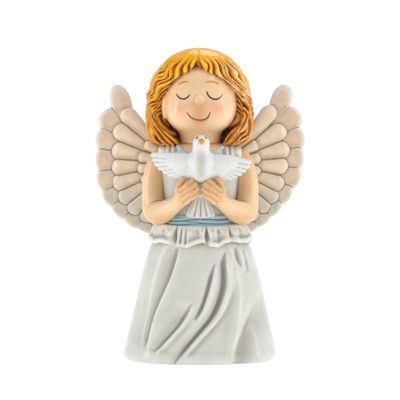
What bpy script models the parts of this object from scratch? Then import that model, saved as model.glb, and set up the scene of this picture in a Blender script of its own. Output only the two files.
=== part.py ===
"""Resin angel figurine holding a dove: a painted cast assembly, 120 mm tall.

Run with: blender --background --python part.py
Z is up, the angel faces -Y, and its own left is +X. The origin is at the middle of the base.
Lengths in the constants are millimetres; MM turns them into Blender's metres.
"""

import math

import bmesh
import bpy
from mathutils import Matrix, Vector

MM = 0.001
GAP = 0.35  # glue gap between neighbouring castings
WELD = 0.002  # points closer than this are one point

# Driving sizes
HEIGHT = 120.0
HEM_HALF_WIDTH = 28.9
HEM_DEPTH_SHARE = 0.78  # front-to-back size over width, at the skirt
WAIST_DEPTH_SHARE = 0.74
SKIRT_TOP = 46.0
SPIGOT_RADIUS = 9.0
SPIGOT_TOP = 60.0
PAD_THICKNESS = 1.2
PAD_HALF_WIDTH = 23.0
PEPLUM_HEM = 44.6
PEPLUM_TOP = 51.3
SASH_TOP = 57.0
SHOULDER_TOP = 83.6
HEAD_CENTRE = (0.0, -1.0, 100.4)
HEAD_RADII = (14.2, 13.6, 14.2)
NECK_RADIUS = 5.6
NECK_BASE_RADIUS = 7.4
NECK_FOOT = 77.6
HAIR_HALF_WIDTH = 20.4
HAIR_DEPTH_SHARE = 0.86
HAIR_FOOT = 81.6
FACE_HALF_WIDTH = 13.0
FACE_TOP = 111.0
ARM_RADIUS = 4.0
PIN_RADIUS = 0.8
TRIM_RADIUS = 0.75
WING_SWEEP = math.radians(16.0)  # each angel wing leans back from the figurine's width
WING_ROOT_X = 6.0
WING_MIDDLE_Y = 10.6  # the wing's middle plane where it meets the back
FAN_CENTRE = (15.7, 76.4)  # feathers spread from here, across and up, in the wing's plane
DOVE_CENTRE = (0.3, -16.7)
DOVE_WING_Y = -15.0
SEGMENTS = 32

# One half of the piping round the neckline, front to back
TRIM_HALF = (
    (0.0, -10.8, 78.4),
    (3.4, -10.3, 79.2),
    (6.1, -8.5, 80.6),
    (8.5, -5.3, 82.3),
    (8.9, -0.8, 83.2),
    (6.6, 4.3, 83.3),
    (0.0, 6.9, 83.1),
)
# Each angel wing: rows of (direction in degrees, reach) of the feather tips round the fan, and the row's thickness
FLIGHT_ROW = ((120, 31.8), (146, 27.6), (163, 24.8), (181, 23.8), (199, 25.1), (216, 26.2), (233, 27.2), (249, 28.7))
MIDDLE_ROW = ((121, 23.6), (147, 21.0), (170, 18.6), (191, 18.6), (210, 20.6), (226, 21.9), (240, 23.2))
SHOULDER_ROW = ((117, 9.2), (172, 8.6), (206, 10.0), (232, 12.0))
FEATHER_ROWS = ((FLIGHT_ROW, 2.2), (MIDDLE_ROW, 3.4), (SHOULDER_ROW, 5.0))
FEATHER_NOTCH = 0.11  # how far the edge dips between two tips, as a share of the reach
# Each dove wing's outline: distance out from the bird's middle, and height
DOVE_WING_OUTLINES = {
    -1: (
        (3.0, 77.6),
        (4.9, 78.4),
        (6.9, 80.3),
        (12.0, 79.9),
        (18.4, 80.2),
        (18.2, 78.9),
        (16.6, 77.9),
        (16.9, 76.2),
        (15.9, 75.5),
        (13.8, 75.0),
        (13.8, 73.2),
        (12.4, 72.6),
        (10.4, 72.6),
        (8.8, 70.2),
        (6.5, 70.0),
        (3.0, 71.6),
    ),
    1: (
        (3.0, 77.4),
        (4.6, 78.3),
        (8.8, 80.0),
        (12.8, 78.3),
        (19.2, 76.8),
        (19.2, 75.6),
        (16.9, 75.0),
        (16.2, 72.6),
        (14.6, 72.2),
        (12.2, 72.6),
        (10.9, 70.0),
        (9.0, 69.8),
        (6.4, 71.4),
        (3.0, 71.6),
    ),
}

RESIN_WHITE = ("painted_white_resin", (0.86, 0.85, 0.83), 0.3)
SKIRT_WHITE = ("skirt_white_resin", (0.84, 0.84, 0.82), 0.3)
SKIN = ("painted_skin_resin", (0.90, 0.72, 0.52), 0.28)
HAIR_GOLD = ("painted_golden_hair", (0.78, 0.43, 0.07), 0.2)
SASH_BLUE = ("painted_sash_blue", (0.42, 0.66, 0.74), 0.3)
TRIM_BLUE = ("painted_trim_blue", (0.62, 0.82, 0.86), 0.3)
WING_BEIGE = ("painted_wing_beige", (0.80, 0.75, 0.68), 0.35)
DOVE_WHITE = ("painted_dove_white", (0.90, 0.90, 0.90), 0.3)
BEAK_ORANGE = ("painted_beak_orange", (0.90, 0.48, 0.06), 0.3)
FOAM_BLACK = ("foam_pad", (0.05, 0.05, 0.05), 0.9)
STEEL = ("steel_pin", (0.62, 0.62, 0.64), 0.3)


# Scene, materials and collections


def clear_scene():
    for obj in list(bpy.data.objects):
        bpy.data.objects.remove(obj, do_unlink=True)


def new_collection(name):
    made = bpy.data.collections.new(name)
    bpy.context.scene.collection.children.link(made)
    return made


def paint(obj, finish):
    """Gives obj its material, made once for each finish."""
    name, colour, roughness = finish
    material = bpy.data.materials.get(name)
    if material is None:
        material = bpy.data.materials.new(name)
        material.use_nodes = True
        shader = material.node_tree.nodes["Principled BSDF"]
        shader.inputs["Base Color"].default_value = (*colour, 1.0)
        shader.inputs["Roughness"].default_value = roughness
        shader.inputs["Metallic"].default_value = 1.0 if finish is STEEL else 0.0
    obj.data.materials.clear()
    obj.data.materials.append(material)
    return obj


def file_under(obj, collection):
    for owner in list(obj.users_collection):
        owner.objects.unlink(obj)
    collection.objects.link(obj)
    return obj


def part(obj, finish):
    """obj is a piece of the figurine."""
    obj.data.shade_smooth()
    obj.data.set_sharp_from_angle(angle=math.radians(40))
    return paint(file_under(obj, PARTS), finish)


def helper(obj):
    """obj only cuts or joins other pieces."""
    obj.hide_render = True
    obj.display_type = "WIRE"
    return file_under(obj, CUTTERS)


# Shapes


def freeze(obj):
    """obj as a plain mesh in the model's own axes: what its modifiers and bevels make, with its caps welded."""
    bpy.context.view_layer.update()
    graph = bpy.context.evaluated_depsgraph_get()
    mesh = bpy.data.meshes.new_from_object(obj.evaluated_get(graph))
    mesh.transform(obj.matrix_world)
    edit = bmesh.new()
    edit.from_mesh(mesh)
    bmesh.ops.remove_doubles(edit, verts=edit.verts, dist=WELD * MM)
    bmesh.ops.recalc_face_normals(edit, faces=edit.faces)
    edit.to_mesh(mesh)
    edit.free()
    name = obj.name
    bpy.data.objects.remove(obj)
    plain = bpy.data.objects.new(name, mesh)
    bpy.context.scene.collection.objects.link(plain)
    return plain


def turned(name, profile, depth_share, centre=(0.0, 0.0), segments=SEGMENTS):
    """A solid turned about a vertical axis from (radius, height) points, top to bottom, then flattened in depth."""
    mesh = bpy.data.meshes.new(name)
    points = [(radius * MM, 0.0, height * MM) for radius, height in profile]
    mesh.from_pydata(points, [(i, i + 1) for i in range(len(points) - 1)], [])
    obj = bpy.data.objects.new(name, mesh)
    bpy.context.scene.collection.objects.link(obj)
    screw = obj.modifiers.new("turn", "SCREW")
    screw.steps = screw.render_steps = segments
    screw.use_merge_vertices = True
    screw.merge_threshold = 0.00005
    solid = freeze(obj)
    solid.data.transform(Matrix.Diagonal((1.0, depth_share, 1.0, 1.0)))
    solid.data.transform(Matrix.Translation((centre[0] * MM, centre[1] * MM, 0.0)))
    return solid


def ring_profile(points):
    """A ring's section, closed by repeating its first point."""
    return [*points, points[0]]


def ball(name, centre, radii, segments=24, rings=14):
    mesh = bpy.data.meshes.new(name)
    edit = bmesh.new()
    bmesh.ops.create_uvsphere(edit, u_segments=segments, v_segments=rings, radius=1.0)
    edit.to_mesh(mesh)
    edit.free()
    mesh.transform(Matrix.Translation(Vector(centre) * MM) @ Matrix.Diagonal((*(Vector(radii) * MM), 1.0)))
    obj = bpy.data.objects.new(name, mesh)
    bpy.context.scene.collection.objects.link(obj)
    return obj


def rod(name, start, end, radius, end_radius=None, sides=16):
    """A cylinder, or a cone where end_radius differs, between two points."""
    mesh = bpy.data.meshes.new(name)
    along = (Vector(end) - Vector(start)) * MM
    edit = bmesh.new()
    bmesh.ops.create_cone(
        edit,
        cap_ends=True,
        segments=sides,
        radius1=radius * MM,
        radius2=(radius if end_radius is None else end_radius) * MM,
        depth=along.length,
    )
    edit.to_mesh(mesh)
    edit.free()
    turn = along.to_track_quat("Z", "Y").to_matrix().to_4x4()
    mesh.transform(Matrix.Translation(Vector(start) * MM + along / 2) @ turn)
    obj = bpy.data.objects.new(name, mesh)
    bpy.context.scene.collection.objects.link(obj)
    return obj


def tube(name, stations, closed=False, sides=3, steps=3):
    """A round limb or piping through (x, y, z, radius) stations. sides is the curve's bevel resolution."""
    curve = bpy.data.curves.new(name, "CURVE")
    curve.dimensions = "3D"
    curve.bevel_depth = MM
    curve.bevel_resolution = sides
    curve.resolution_u = steps
    curve.use_fill_caps = True
    spline = curve.splines.new("BEZIER")
    spline.bezier_points.add(len(stations) - 1)
    spline.use_cyclic_u = closed
    for point, (x, y, z, radius) in zip(spline.bezier_points, stations, strict=True):
        point.co = Vector((x, y, z)) * MM
        point.radius = radius
        point.handle_left_type = point.handle_right_type = "AUTO"
    obj = bpy.data.objects.new(name, curve)
    bpy.context.scene.collection.objects.link(obj)
    return freeze(obj)


def plate(name, outline, thickness, place):
    """A flat piece of that thickness from a closed outline of (across, up) points, set in the model by a matrix."""
    curve = bpy.data.curves.new(name, "CURVE")
    curve.dimensions = "2D"
    curve.fill_mode = "BOTH"
    curve.extrude = thickness * MM / 2
    spline = curve.splines.new("POLY")
    spline.points.add(len(outline) - 1)
    spline.use_cyclic_u = True
    for point, (across, up) in zip(spline.points, outline, strict=True):
        point.co = (across * MM, up * MM, 0.0, 1.0)
    obj = bpy.data.objects.new(name, curve)
    bpy.context.scene.collection.objects.link(obj)
    obj.matrix_world = place
    return freeze(obj)


def combine(obj, other, operation):
    """Cuts obj with other, or joins other to it."""
    modifier = obj.modifiers.new(operation.lower(), "BOOLEAN")
    modifier.operation = operation
    modifier.solver = "EXACT"
    modifier.object = helper(other)
    return obj


def cut(obj, *cutters):
    for cutter in cutters:
        combine(obj, cutter, "DIFFERENCE")
    return obj


def join(obj, *others):
    for other in others:
        combine(obj, other, "UNION")
    return obj


# The dress


def skirt_profile():
    """Outer side of the skirt, from its spigot down to the rounded hem."""
    half = HEM_HALF_WIDTH
    return [
        (0.0, SPIGOT_TOP),
        (SPIGOT_RADIUS, SPIGOT_TOP),
        (SPIGOT_RADIUS, SKIRT_TOP),
        (17.4, SKIRT_TOP),
        (18.6, 45.0),
        (0.745 * half, 37.0),
        (0.815 * half, 29.0),
        (0.885 * half, 20.0),
        (0.955 * half, 10.5),
        (half, 2.6),
        (0.985 * half, 0.9),
        (0.94 * half, 0.0),
        (0.0, 0.0),
    ]


def make_skirt():
    skirt = turned("skirt", skirt_profile(), HEM_DEPTH_SHARE, segments=48)
    recess = turned(
        "pad_recess",
        [
            (0.0, PAD_THICKNESS + GAP),
            (PAD_HALF_WIDTH + GAP, PAD_THICKNESS + GAP),
            (PAD_HALF_WIDTH + GAP, -1.0),
            (0.0, -1.0),
        ],
        HEM_DEPTH_SHARE,
    )
    return part(cut(skirt, recess), SKIRT_WHITE)


def make_base_pad():
    pad = turned(
        "base_pad",
        [(0.0, PAD_THICKNESS), (PAD_HALF_WIDTH, PAD_THICKNESS), (PAD_HALF_WIDTH, 0.0), (0.0, 0.0)],
        HEM_DEPTH_SHARE,
    )
    return part(pad, FOAM_BLACK)


def make_peplum():
    """The gathered frill over the top of the skirt, with a hem that waves in and out."""
    inner = SPIGOT_RADIUS + GAP
    section = [
        (inner, PEPLUM_TOP),
        (14.8, PEPLUM_TOP),
        (17.2, 49.6),
        (19.0, 47.0),
        (20.2, 45.2),
        (19.9, PEPLUM_HEM),
        (19.3, PEPLUM_HEM),
        (18.9, SKIRT_TOP + GAP),
        (inner, SKIRT_TOP + GAP),
    ]
    peplum = turned("peplum", ring_profile(section), WAIST_DEPTH_SHARE + 0.05, segments=54)
    waves = 9
    wave_height = 0.35
    for vertex in peplum.data.vertices:
        x, y, z = vertex.co / MM
        if math.hypot(x, y / WAIST_DEPTH_SHARE) > 15.5 and z < SKIRT_TOP:
            vertex.co.z += wave_height * MM * math.sin(waves * math.atan2(y, x))
    return part(peplum, RESIN_WHITE)


def make_sash():
    inner = 13.6 + GAP
    section = [
        (inner, SASH_TOP),
        (inner + 1.0, SASH_TOP),
        (inner + 2.0, 55.6),
        (inner + 1.6, 54.4),
        (inner + 2.1, 53.2),
        (inner + 1.3, PEPLUM_TOP + GAP),
        (inner, PEPLUM_TOP + GAP),
    ]
    return part(turned("sash", ring_profile(section), WAIST_DEPTH_SHARE), SASH_BLUE)


def torso(name, grow=0.0):
    """The bodice's outer form. grow thickens it, for a cutter that leaves a gap."""
    profile = [
        (0.0, SHOULDER_TOP + grow),
        (6.5, SHOULDER_TOP + grow),
        (11.5 + grow, 82.2 + grow),
        (14.6 + grow, 79.0),
        (15.4 + grow, 74.0),
        (15.0 + grow, 68.0),
        (14.2 + grow, 62.0),
        (13.6 + grow, SASH_TOP),
        (13.6 + grow, PEPLUM_TOP + GAP - grow),
        (0.0, PEPLUM_TOP + GAP - grow),
    ]
    return turned(name, profile, WAIST_DEPTH_SHARE)


def trim_ring(name, grow=0.0):
    """The piping round the neckline: low in front, high behind."""
    other_half = [(-x, y, z) for x, y, z in reversed(TRIM_HALF[1:-1])]
    stations = [(*point, TRIM_RADIUS + grow) for point in (*TRIM_HALF, *other_half)]
    return tube(name, stations, closed=True, sides=1, steps=2)


def neck_core(name, grow=0.0):
    """The neck down to the foot that sits in the bodice."""
    foot = NECK_BASE_RADIUS + grow
    profile = [
        (0.0, 92.0),
        (NECK_RADIUS + grow, 92.0),
        (NECK_RADIUS + grow, 84.6),
        (foot, 82.0),
        (foot, NECK_FOOT - grow),
        (0.0, NECK_FOOT - grow),
    ]
    return turned(name, profile, 0.92, centre=(0.0, -1.0), segments=28)


def pin(name, start, end, finish=STEEL):
    return part(rod(name, start, end, PIN_RADIUS), finish)


def pin_hole(name, start, end):
    """The hole for a pin: it is wider than the pin and runs past its ends."""
    along = (Vector(end) - Vector(start)).normalized() * 2 * GAP
    return rod(name, Vector(start) - along, Vector(end) + along, PIN_RADIUS + GAP)


def make_bodice():
    bodice = torso("bodice")
    socket = turned(
        "waist_socket",
        [
            (0.0, SPIGOT_TOP + GAP),
            (SPIGOT_RADIUS + GAP, SPIGOT_TOP + GAP),
            (SPIGOT_RADIUS + GAP, 45.0),
            (0.0, 45.0),
        ],
        HEM_DEPTH_SHARE,
    )
    cut(bodice, socket, neck_core("neck_socket", GAP), trim_ring("trim_groove", GAP))
    for name, start, end in PINS_IN_BODICE:
        cut(bodice, pin_hole(f"{name}_hole_in_bodice", start, end))
    return part(bodice, RESIN_WHITE)


# The head


def head_ball(name, grow=0.0):
    return ball(name, HEAD_CENTRE, [radius + grow for radius in HEAD_RADII], 28, 16)


def make_head():
    head = head_ball("head")
    nose = ball("nose", (HEAD_CENTRE[0] - 0.3, HEAD_CENTRE[1] - HEAD_RADII[1] - 0.2, 100.6), (2.0, 1.6, 1.9), 14, 8)
    join(head, neck_core("neck"), nose)
    cut(head, pin_hole("neck_pin_hole_in_head", *NECK_PIN))
    return part(head, SKIN)


def hair_profile(grow=0.0):
    """Outer side of the bell of hair: a dome that runs into nearly straight sides."""
    half, spring = HAIR_HALF_WIDTH + grow, 99.6
    top = HEIGHT + grow - spring
    dome = [
        (half * math.sin(angle), spring + top * math.cos(angle))
        for angle in (math.radians(11.25 * i) for i in range(9))
    ]
    sides = [(half + 0.2, 94.0), (half, 88.5), (half - 1.6, 84.0), (half - 3.0, HAIR_FOOT - grow)]
    return [*dome, *sides, (0.0, HAIR_FOOT - grow)]


def hair_form(name, grow=0.0):
    return turned(name, hair_profile(grow), HAIR_DEPTH_SHARE, centre=(0.0, 0.4), segments=36)


def make_hair():
    hair = hair_form("hair")
    face_centre_z = FACE_TOP - FACE_HALF_WIDTH
    face = rod(
        "face_opening",
        (0.0, -30.0, face_centre_z),
        (0.0, -3.0, face_centre_z),
        FACE_HALF_WIDTH,
        sides=24,
    )
    throat = ball("throat_opening", (0.0, -9.0, 84.0), (9.0, 13.0, 8.5), 16, 10)
    cut(
        hair,
        head_ball("head_socket", GAP),
        neck_core("hair_neck_gap", GAP),
        face,
        throat,
        torso("hair_torso_gap", GAP),
        arm_form("hair_left_arm_gap", 1, GAP),
        arm_form("hair_right_arm_gap", -1, GAP),
        trim_ring("hair_trim_gap", GAP),
    )
    return part(hair, HAIR_GOLD)


# Arms and hands


def arm_form(name, side, grow=0.0):
    """Upper arm and forearm as one bent limb, from the shoulder to the wrist."""
    stations = [
        (17.2, 0.2, 81.9, 1.4),
        (17.6, 0.1, 80.6, 3.2),
        (18.2, -0.2, 76.5, ARM_RADIUS),
        (18.7, -0.8, 69.0, ARM_RADIUS),
        (18.6, -2.4, 61.0, ARM_RADIUS + 0.2),
        (17.0, -5.6, 57.0, ARM_RADIUS + 0.3),
        (13.6, -10.2, 58.0, ARM_RADIUS - 0.1),
        (10.0, -14.2, 60.4, 3.2),
    ]
    limb = [(side * x, y, z, radius + grow) for x, y, z, radius in stations]
    return tube(name, limb, sides=3, steps=3)


def make_arm(name, side):
    arm = arm_form(name, side)
    cut(arm, torso(f"{name}_torso_gap", GAP), sash_cutter(f"{name}_sash_gap"))
    pin_name = name.replace("arm", "shoulder_pin")
    cut(arm, pin_hole(f"{pin_name}_hole_in_arm", *SHOULDER_PINS[pin_name]))
    return part(arm, SKIN)


def sash_cutter(name):
    """The sash and peplum's outer form with a gap, to keep the arms off them."""
    outer = 13.6 + GAP + 2.1 + GAP
    profile = [(0.0, SASH_TOP + GAP), (outer, SASH_TOP + GAP), (outer, PEPLUM_TOP - 1.0), (0.0, PEPLUM_TOP - 1.0)]
    return turned(name, profile, WAIST_DEPTH_SHARE)


def make_hand(name, side):
    """A cupped hand: a palm, four fingers that meet the other hand's, and a thumb that stands up."""
    palm_centre = Vector((side * 6.1, -16.4, 63.6))
    hand = ball(name, palm_centre, (3.9, 2.2, 3.9), 16, 10)
    for finger in range(4):
        drop = 1.75 * finger
        reach = 0.5 * finger
        base = (side * (7.3 - reach), -17.0, 66.3 - drop)
        middle = (side * (4.6 - 0.6 * reach), -18.6, 67.6 - drop)
        tip = (side * (2.4 + 0.15 * reach), -18.4, 69.0 - 1.15 * drop)
        stations = [(*base, 1.1), (*middle, 1.05), (*tip, 0.95)]
        join(hand, tube(f"{name}_finger_{finger + 1}", stations, sides=1, steps=2))
    thumb = [
        (side * 8.0, -16.0, 65.5, 1.35),
        (side * 7.5, -16.2, 68.4, 1.25),
        (side * 6.6, -16.6, 70.6, 1.0),
    ]
    join(hand, tube(f"{name}_thumb", thumb, sides=1, steps=2))
    arm_name = name.replace("hand", "arm_gap_for_hand")
    cut(hand, arm_form(arm_name, side, GAP), dove_body_form(f"{name}_dove_gap", GAP))
    cut(hand, *(dove_wing_form(f"{name}_{wing}_gap", way, 2 * GAP) for wing, way in DOVE_WINGS))
    return part(hand, SKIN)


# The dove


def dove_body_form(name, grow=0.0):
    """Head, neck and breast of the dove, upright."""
    profile = [
        (0.0, 87.9 + grow),
        (1.7 + grow, 87.4 + grow),
        (2.9 + grow, 86.2),
        (3.3 + grow, 84.6),
        (3.3 + grow, 81.5),
        (3.9 + grow, 78.5),
        (5.2 + grow, 75.4),
        (5.5 + grow, 72.6),
        (4.4 + grow, 70.2 - grow / 2),
        (2.2 + grow, 69.1 - grow),
        (0.0, 68.9 - grow),
    ]
    return turned(name, profile, 0.86, centre=DOVE_CENTRE, segments=28)


def make_dove_body():
    body = dove_body_form("dove_body")
    cut(body, torso("dove_torso_gap", GAP), pin_hole("dove_pin_hole_in_dove", *DOVE_PIN))
    return part(body, DOVE_WHITE)


def dove_wing_form(name, side, grow=0.0):
    """A spread wing: an upper edge and flight feathers that step down the lower edge."""
    middle_x, middle_z, half = 9.0, 75.6, 6.0
    swell = 1.0 + grow / half
    points = [
        (DOVE_CENTRE[0] + side * (middle_x + swell * (x - middle_x)), middle_z + swell * (z - middle_z))
        for x, z in DOVE_WING_OUTLINES[side]
    ]
    place = Matrix.Translation((0.0, DOVE_WING_Y * MM, 0.0)) @ Matrix.Rotation(math.pi / 2, 4, "X")
    return plate(name, points, 1.8 + 2 * grow, place)


def make_dove_wing(name, side):
    wing = dove_wing_form(name, side)
    return part(cut(wing, dove_body_form(f"{name}_body_gap", GAP)), DOVE_WHITE)


def make_dove_tail():
    """A fan of feathers that hangs below the hands."""
    feathers, half_spread = 5, math.radians(24.0)
    hinge = (DOVE_CENTRE[0], 69.6)
    length, notch = 14.0, 12.9
    outline = [(hinge[0] - 1.4, hinge[1]), (hinge[0] + 1.4, hinge[1])]
    for i in range(2 * feathers + 1):
        turn = half_spread * (1.0 - i / feathers)
        reach = notch if i % 2 == 0 else length
        outline.append((hinge[0] + reach * math.sin(turn), hinge[1] - reach * math.cos(turn)))
    place = Matrix.Translation((0.0, -13.0 * MM, 0.0)) @ Matrix.Rotation(math.pi / 2, 4, "X")
    tail = plate("dove_tail", outline, 1.2, place)
    return part(cut(tail, dove_body_form("dove_tail_body_gap", GAP)), DOVE_WHITE)


def make_dove_beak():
    centre_x, centre_y = DOVE_CENTRE
    beak = rod("dove_beak", (centre_x, centre_y - 1.8, 85.4), (centre_x, centre_y - 4.9, 84.8), 1.3, 0.25, sides=14)
    return part(cut(beak, dove_body_form("dove_beak_body_gap", GAP)), BEAK_ORANGE)


# The angel's wings

def row_outline(tips, inset):
    """Rounded feather tips round the fan's centre, then back along the wing's root, brought in by inset."""
    first = tips[0][0] - (tips[1][0] - tips[0][0]) / 3
    last = tips[-1][0] + (tips[-1][0] - tips[-2][0]) / 2
    edges = [first, *((a[0] + b[0]) / 2 for a, b in zip(tips, tips[1:], strict=False)), last]
    outline = []
    for (direction, reach), start, stop in zip(tips, edges, edges[1:], strict=False):
        for across_lobe in (-0.9, -0.5, 0.0, 0.5, 0.9):
            width = direction - start if across_lobe < 0 else stop - direction
            turn = math.radians(direction + across_lobe * width)
            edge = reach * (1.0 - FEATHER_NOTCH * abs(across_lobe) ** 3)
            outline.append((-edge * math.cos(turn), edge * math.sin(turn)))
    elbow = (0.45 * outline[0][0], 0.45 * outline[0][1])
    root = [(-5.0 + inset, -14.0 + inset), (-10.4 + inset, -5.0), (-10.4 + inset, 5.6 - inset), elbow]
    return [(FAN_CENTRE[0] + across, FAN_CENTRE[1] + up) for across, up in outline + root]


def wing_place(side):
    """Sets (across, up) points in a wing's plane, which leans back and still measures the same seen from in front."""
    stand = Matrix.Rotation(math.pi / 2, 4, "X")
    widen = Matrix.Diagonal((1.0 / math.cos(WING_SWEEP), 1.0, 1.0, 1.0))
    root = Matrix.Translation((WING_ROOT_X * MM, WING_MIDDLE_Y * MM, 0.0))
    lean = Matrix.Rotation(WING_SWEEP, 4, "Z")
    back_to_root = Matrix.Translation((-WING_ROOT_X * MM, 0.0, 0.0))
    return Matrix.Diagonal((side, 1.0, 1.0, 1.0)) @ root @ lean @ widen @ back_to_root @ stand


def make_wing(name, side):
    """One cast wing: three rows of feathers, each row thicker than the one outside it."""
    rows = [
        plate(f"{name}_row_{i + 1}", row_outline(tips, 0.3 * i), thickness, wing_place(side))
        for i, (tips, thickness) in enumerate(FEATHER_ROWS)
    ]
    wing = rows[0]
    wing.name = name
    join(wing, *rows[1:])
    cut(wing, torso(f"{name}_torso_gap", GAP), arm_form(f"{name}_arm_gap", side, GAP))
    cut(wing, hair_form(f"{name}_hair_gap", GAP))
    for pin_name, (start, end) in WING_PINS.items():
        if pin_name.startswith(name):
            cut(wing, pin_hole(f"{pin_name}_hole_in_wing", start, end))
    return part(wing, WING_BEIGE)


# Steel locating pins: (start, end) of each
SIDES = (("left", 1), ("right", -1))
DOVE_WINGS = (("dove_left_wing", 1), ("dove_right_wing", -1))
NECK_PIN = ((0.0, -1.0, 71.5), (0.0, -1.0, 90.0))
DOVE_PIN = ((DOVE_CENTRE[0], -8.0, 73.5), (DOVE_CENTRE[0], -17.0, 73.5))
SHOULDER_PINS = {f"{word}_shoulder_pin": ((side * 11.0, 0.0, 75.5), (side * 19.0, 0.0, 75.5)) for word, side in SIDES}
WING_PINS = {
    f"{word}_wing_pin_{level}": ((side * 8.0, 4.0, height), (side * 8.0, 12.2, height))
    for word, side in SIDES
    for level, height in (("upper", 78.0), ("lower", 71.5))
}
PINS_IN_BODICE = [
    (name, *ends)
    for name, ends in [("neck_pin", NECK_PIN), ("dove_pin", DOVE_PIN), *SHOULDER_PINS.items(), *WING_PINS.items()]
]


def main():
    make_base_pad()
    make_skirt()
    make_peplum()
    make_sash()
    make_bodice()
    part(trim_ring("neckline_trim"), TRIM_BLUE)
    make_head()
    make_hair()
    for word, side in SIDES:
        make_arm(f"{word}_arm", side)
        make_hand(f"{word}_hand", side)
        make_wing(f"{word}_wing", side)
    make_dove_body()
    for name, side in DOVE_WINGS:
        make_dove_wing(name, side)
    make_dove_tail()
    make_dove_beak()
    for name, start, end in PINS_IN_BODICE:
        pin(name, start, end)


clear_scene()
PARTS = new_collection("resin_angel_figurine")
CUTTERS = new_collection("cutters")
main()
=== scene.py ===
"""Looks of the painted resin angel figurine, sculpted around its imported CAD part.

Everything is modelled in millimetres and turned into metres when a mesh is made. Z is up, the angel
faces -Y, and its own left is +X. Soft forms are modelled as clay: signed distances that are blended
together and then skinned. The dress is a set of displaced turned surfaces.
"""

import math

import bpy
import numpy as np
from mathutils import Matrix, Vector

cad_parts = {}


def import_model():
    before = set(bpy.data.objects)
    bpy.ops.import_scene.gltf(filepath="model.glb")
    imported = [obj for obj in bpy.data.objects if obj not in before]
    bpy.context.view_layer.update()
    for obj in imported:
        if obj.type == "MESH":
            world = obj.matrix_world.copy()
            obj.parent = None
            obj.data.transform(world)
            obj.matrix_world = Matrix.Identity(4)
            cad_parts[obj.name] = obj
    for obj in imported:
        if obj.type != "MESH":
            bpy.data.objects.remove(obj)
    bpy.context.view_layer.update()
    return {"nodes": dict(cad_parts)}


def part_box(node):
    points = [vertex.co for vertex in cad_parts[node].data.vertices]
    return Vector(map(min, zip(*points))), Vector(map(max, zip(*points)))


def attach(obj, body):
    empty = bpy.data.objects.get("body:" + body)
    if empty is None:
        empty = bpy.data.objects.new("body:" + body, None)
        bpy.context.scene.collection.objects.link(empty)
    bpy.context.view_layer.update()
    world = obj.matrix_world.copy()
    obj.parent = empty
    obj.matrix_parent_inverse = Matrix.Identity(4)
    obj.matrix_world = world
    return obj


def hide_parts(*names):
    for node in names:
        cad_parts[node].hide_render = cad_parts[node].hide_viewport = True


MM = 0.001
FULL_TURN = 2.0 * math.pi
DETAIL = 1.0  # values above 1 make the clay coarser

# The dress, as the CAD part has it
HEM_DEPTH_SHARE = 0.78
FRILL_DEPTH_SHARE = 0.79
WAIST_DEPTH_SHARE = 0.74

# The head and the bell of hair
HAIR_RADIUS = 20.3
HAIR_SPRING = 99.6
HAIR_DEPTH_SHARE = 0.86
HAIR_MIDDLE = (-0.35, 0.4)  # where its axis stands, in x and y
STRANDS = 36


# Small mathematical helpers


def smooth_step(low, high, value):
    share = np.clip((value - low) / (high - low), 0.0, 1.0)
    return share * share * (3.0 - 2.0 * share)


def smooth_min(a, b, soft):
    """The smaller of two distances, rounded over where they meet."""
    if soft <= 0.0:
        return np.minimum(a, b)
    overlap = np.maximum(soft - np.abs(a - b), 0.0) / soft
    return np.minimum(a, b) - overlap * overlap * soft * 0.25


def smooth_max(a, b, soft):
    return -smooth_min(-a, -b, soft)


def bell(value, width):
    """1 at zero, falling away smoothly over that width."""
    return np.exp(-((value / width) ** 2))


def ball(centre, radii):
    """Distance to an ellipsoid, close enough near its surface."""

    def distance(x, y, z):
        sides = [(v - c) / r for v, c, r in zip((x, y, z), centre, radii)]
        slopes = [side / r for side, r in zip(sides, radii)]
        near = np.sqrt(sum(side * side for side in sides))
        steep = np.sqrt(sum(slope * slope for slope in slopes)) + 1e-6
        return near * (near - 1.0) / steep

    return distance


def limb(start, end, start_radius, end_radius, flat=1.0):
    """Distance to a tapered round-ended rod. flat below 1 thins it front to back."""
    start, end = np.array(start, float), np.array(end, float)
    along = end - start
    length = float(along @ along)

    def distance(x, y, z):
        px, py, pz = x - start[0], (y - start[1]) / flat, z - start[2]
        ax, ay, az = along[0], along[1] / flat, along[2]
        span = length if flat == 1.0 else ax * ax + ay * ay + az * az
        share = np.clip((px * ax + py * ay + pz * az) / span, 0.0, 1.0)
        off = np.sqrt((px - share * ax) ** 2 + (py - share * ay) ** 2 + (pz - share * az) ** 2)
        return (off - start_radius - share * (end_radius - start_radius)) * min(1.0, flat + 0.2)

    return distance


def outline_distance(x, z, corners):
    """Distance to a closed outline in the front view, negative inside it."""
    best = np.full(np.broadcast(x, z).shape, 1e9)
    inside = np.zeros(best.shape, bool)
    for (ax, az), (bx, bz) in zip(corners, corners[1:] + corners[:1]):
        ex, ez = bx - ax, bz - az
        share = np.clip(((x - ax) * ex + (z - az) * ez) / (ex * ex + ez * ez), 0.0, 1.0)
        best = np.minimum(best, (x - ax - share * ex) ** 2 + (z - az - share * ez) ** 2)
        if az != bz:
            crosses = ((az > z) != (bz > z)) & (x < ax + (z - az) * ex / ez)
            inside = inside ^ crosses
    return np.where(inside, -1.0, 1.0) * np.sqrt(best)


# Clay: blended signed distances in a block of space


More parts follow.
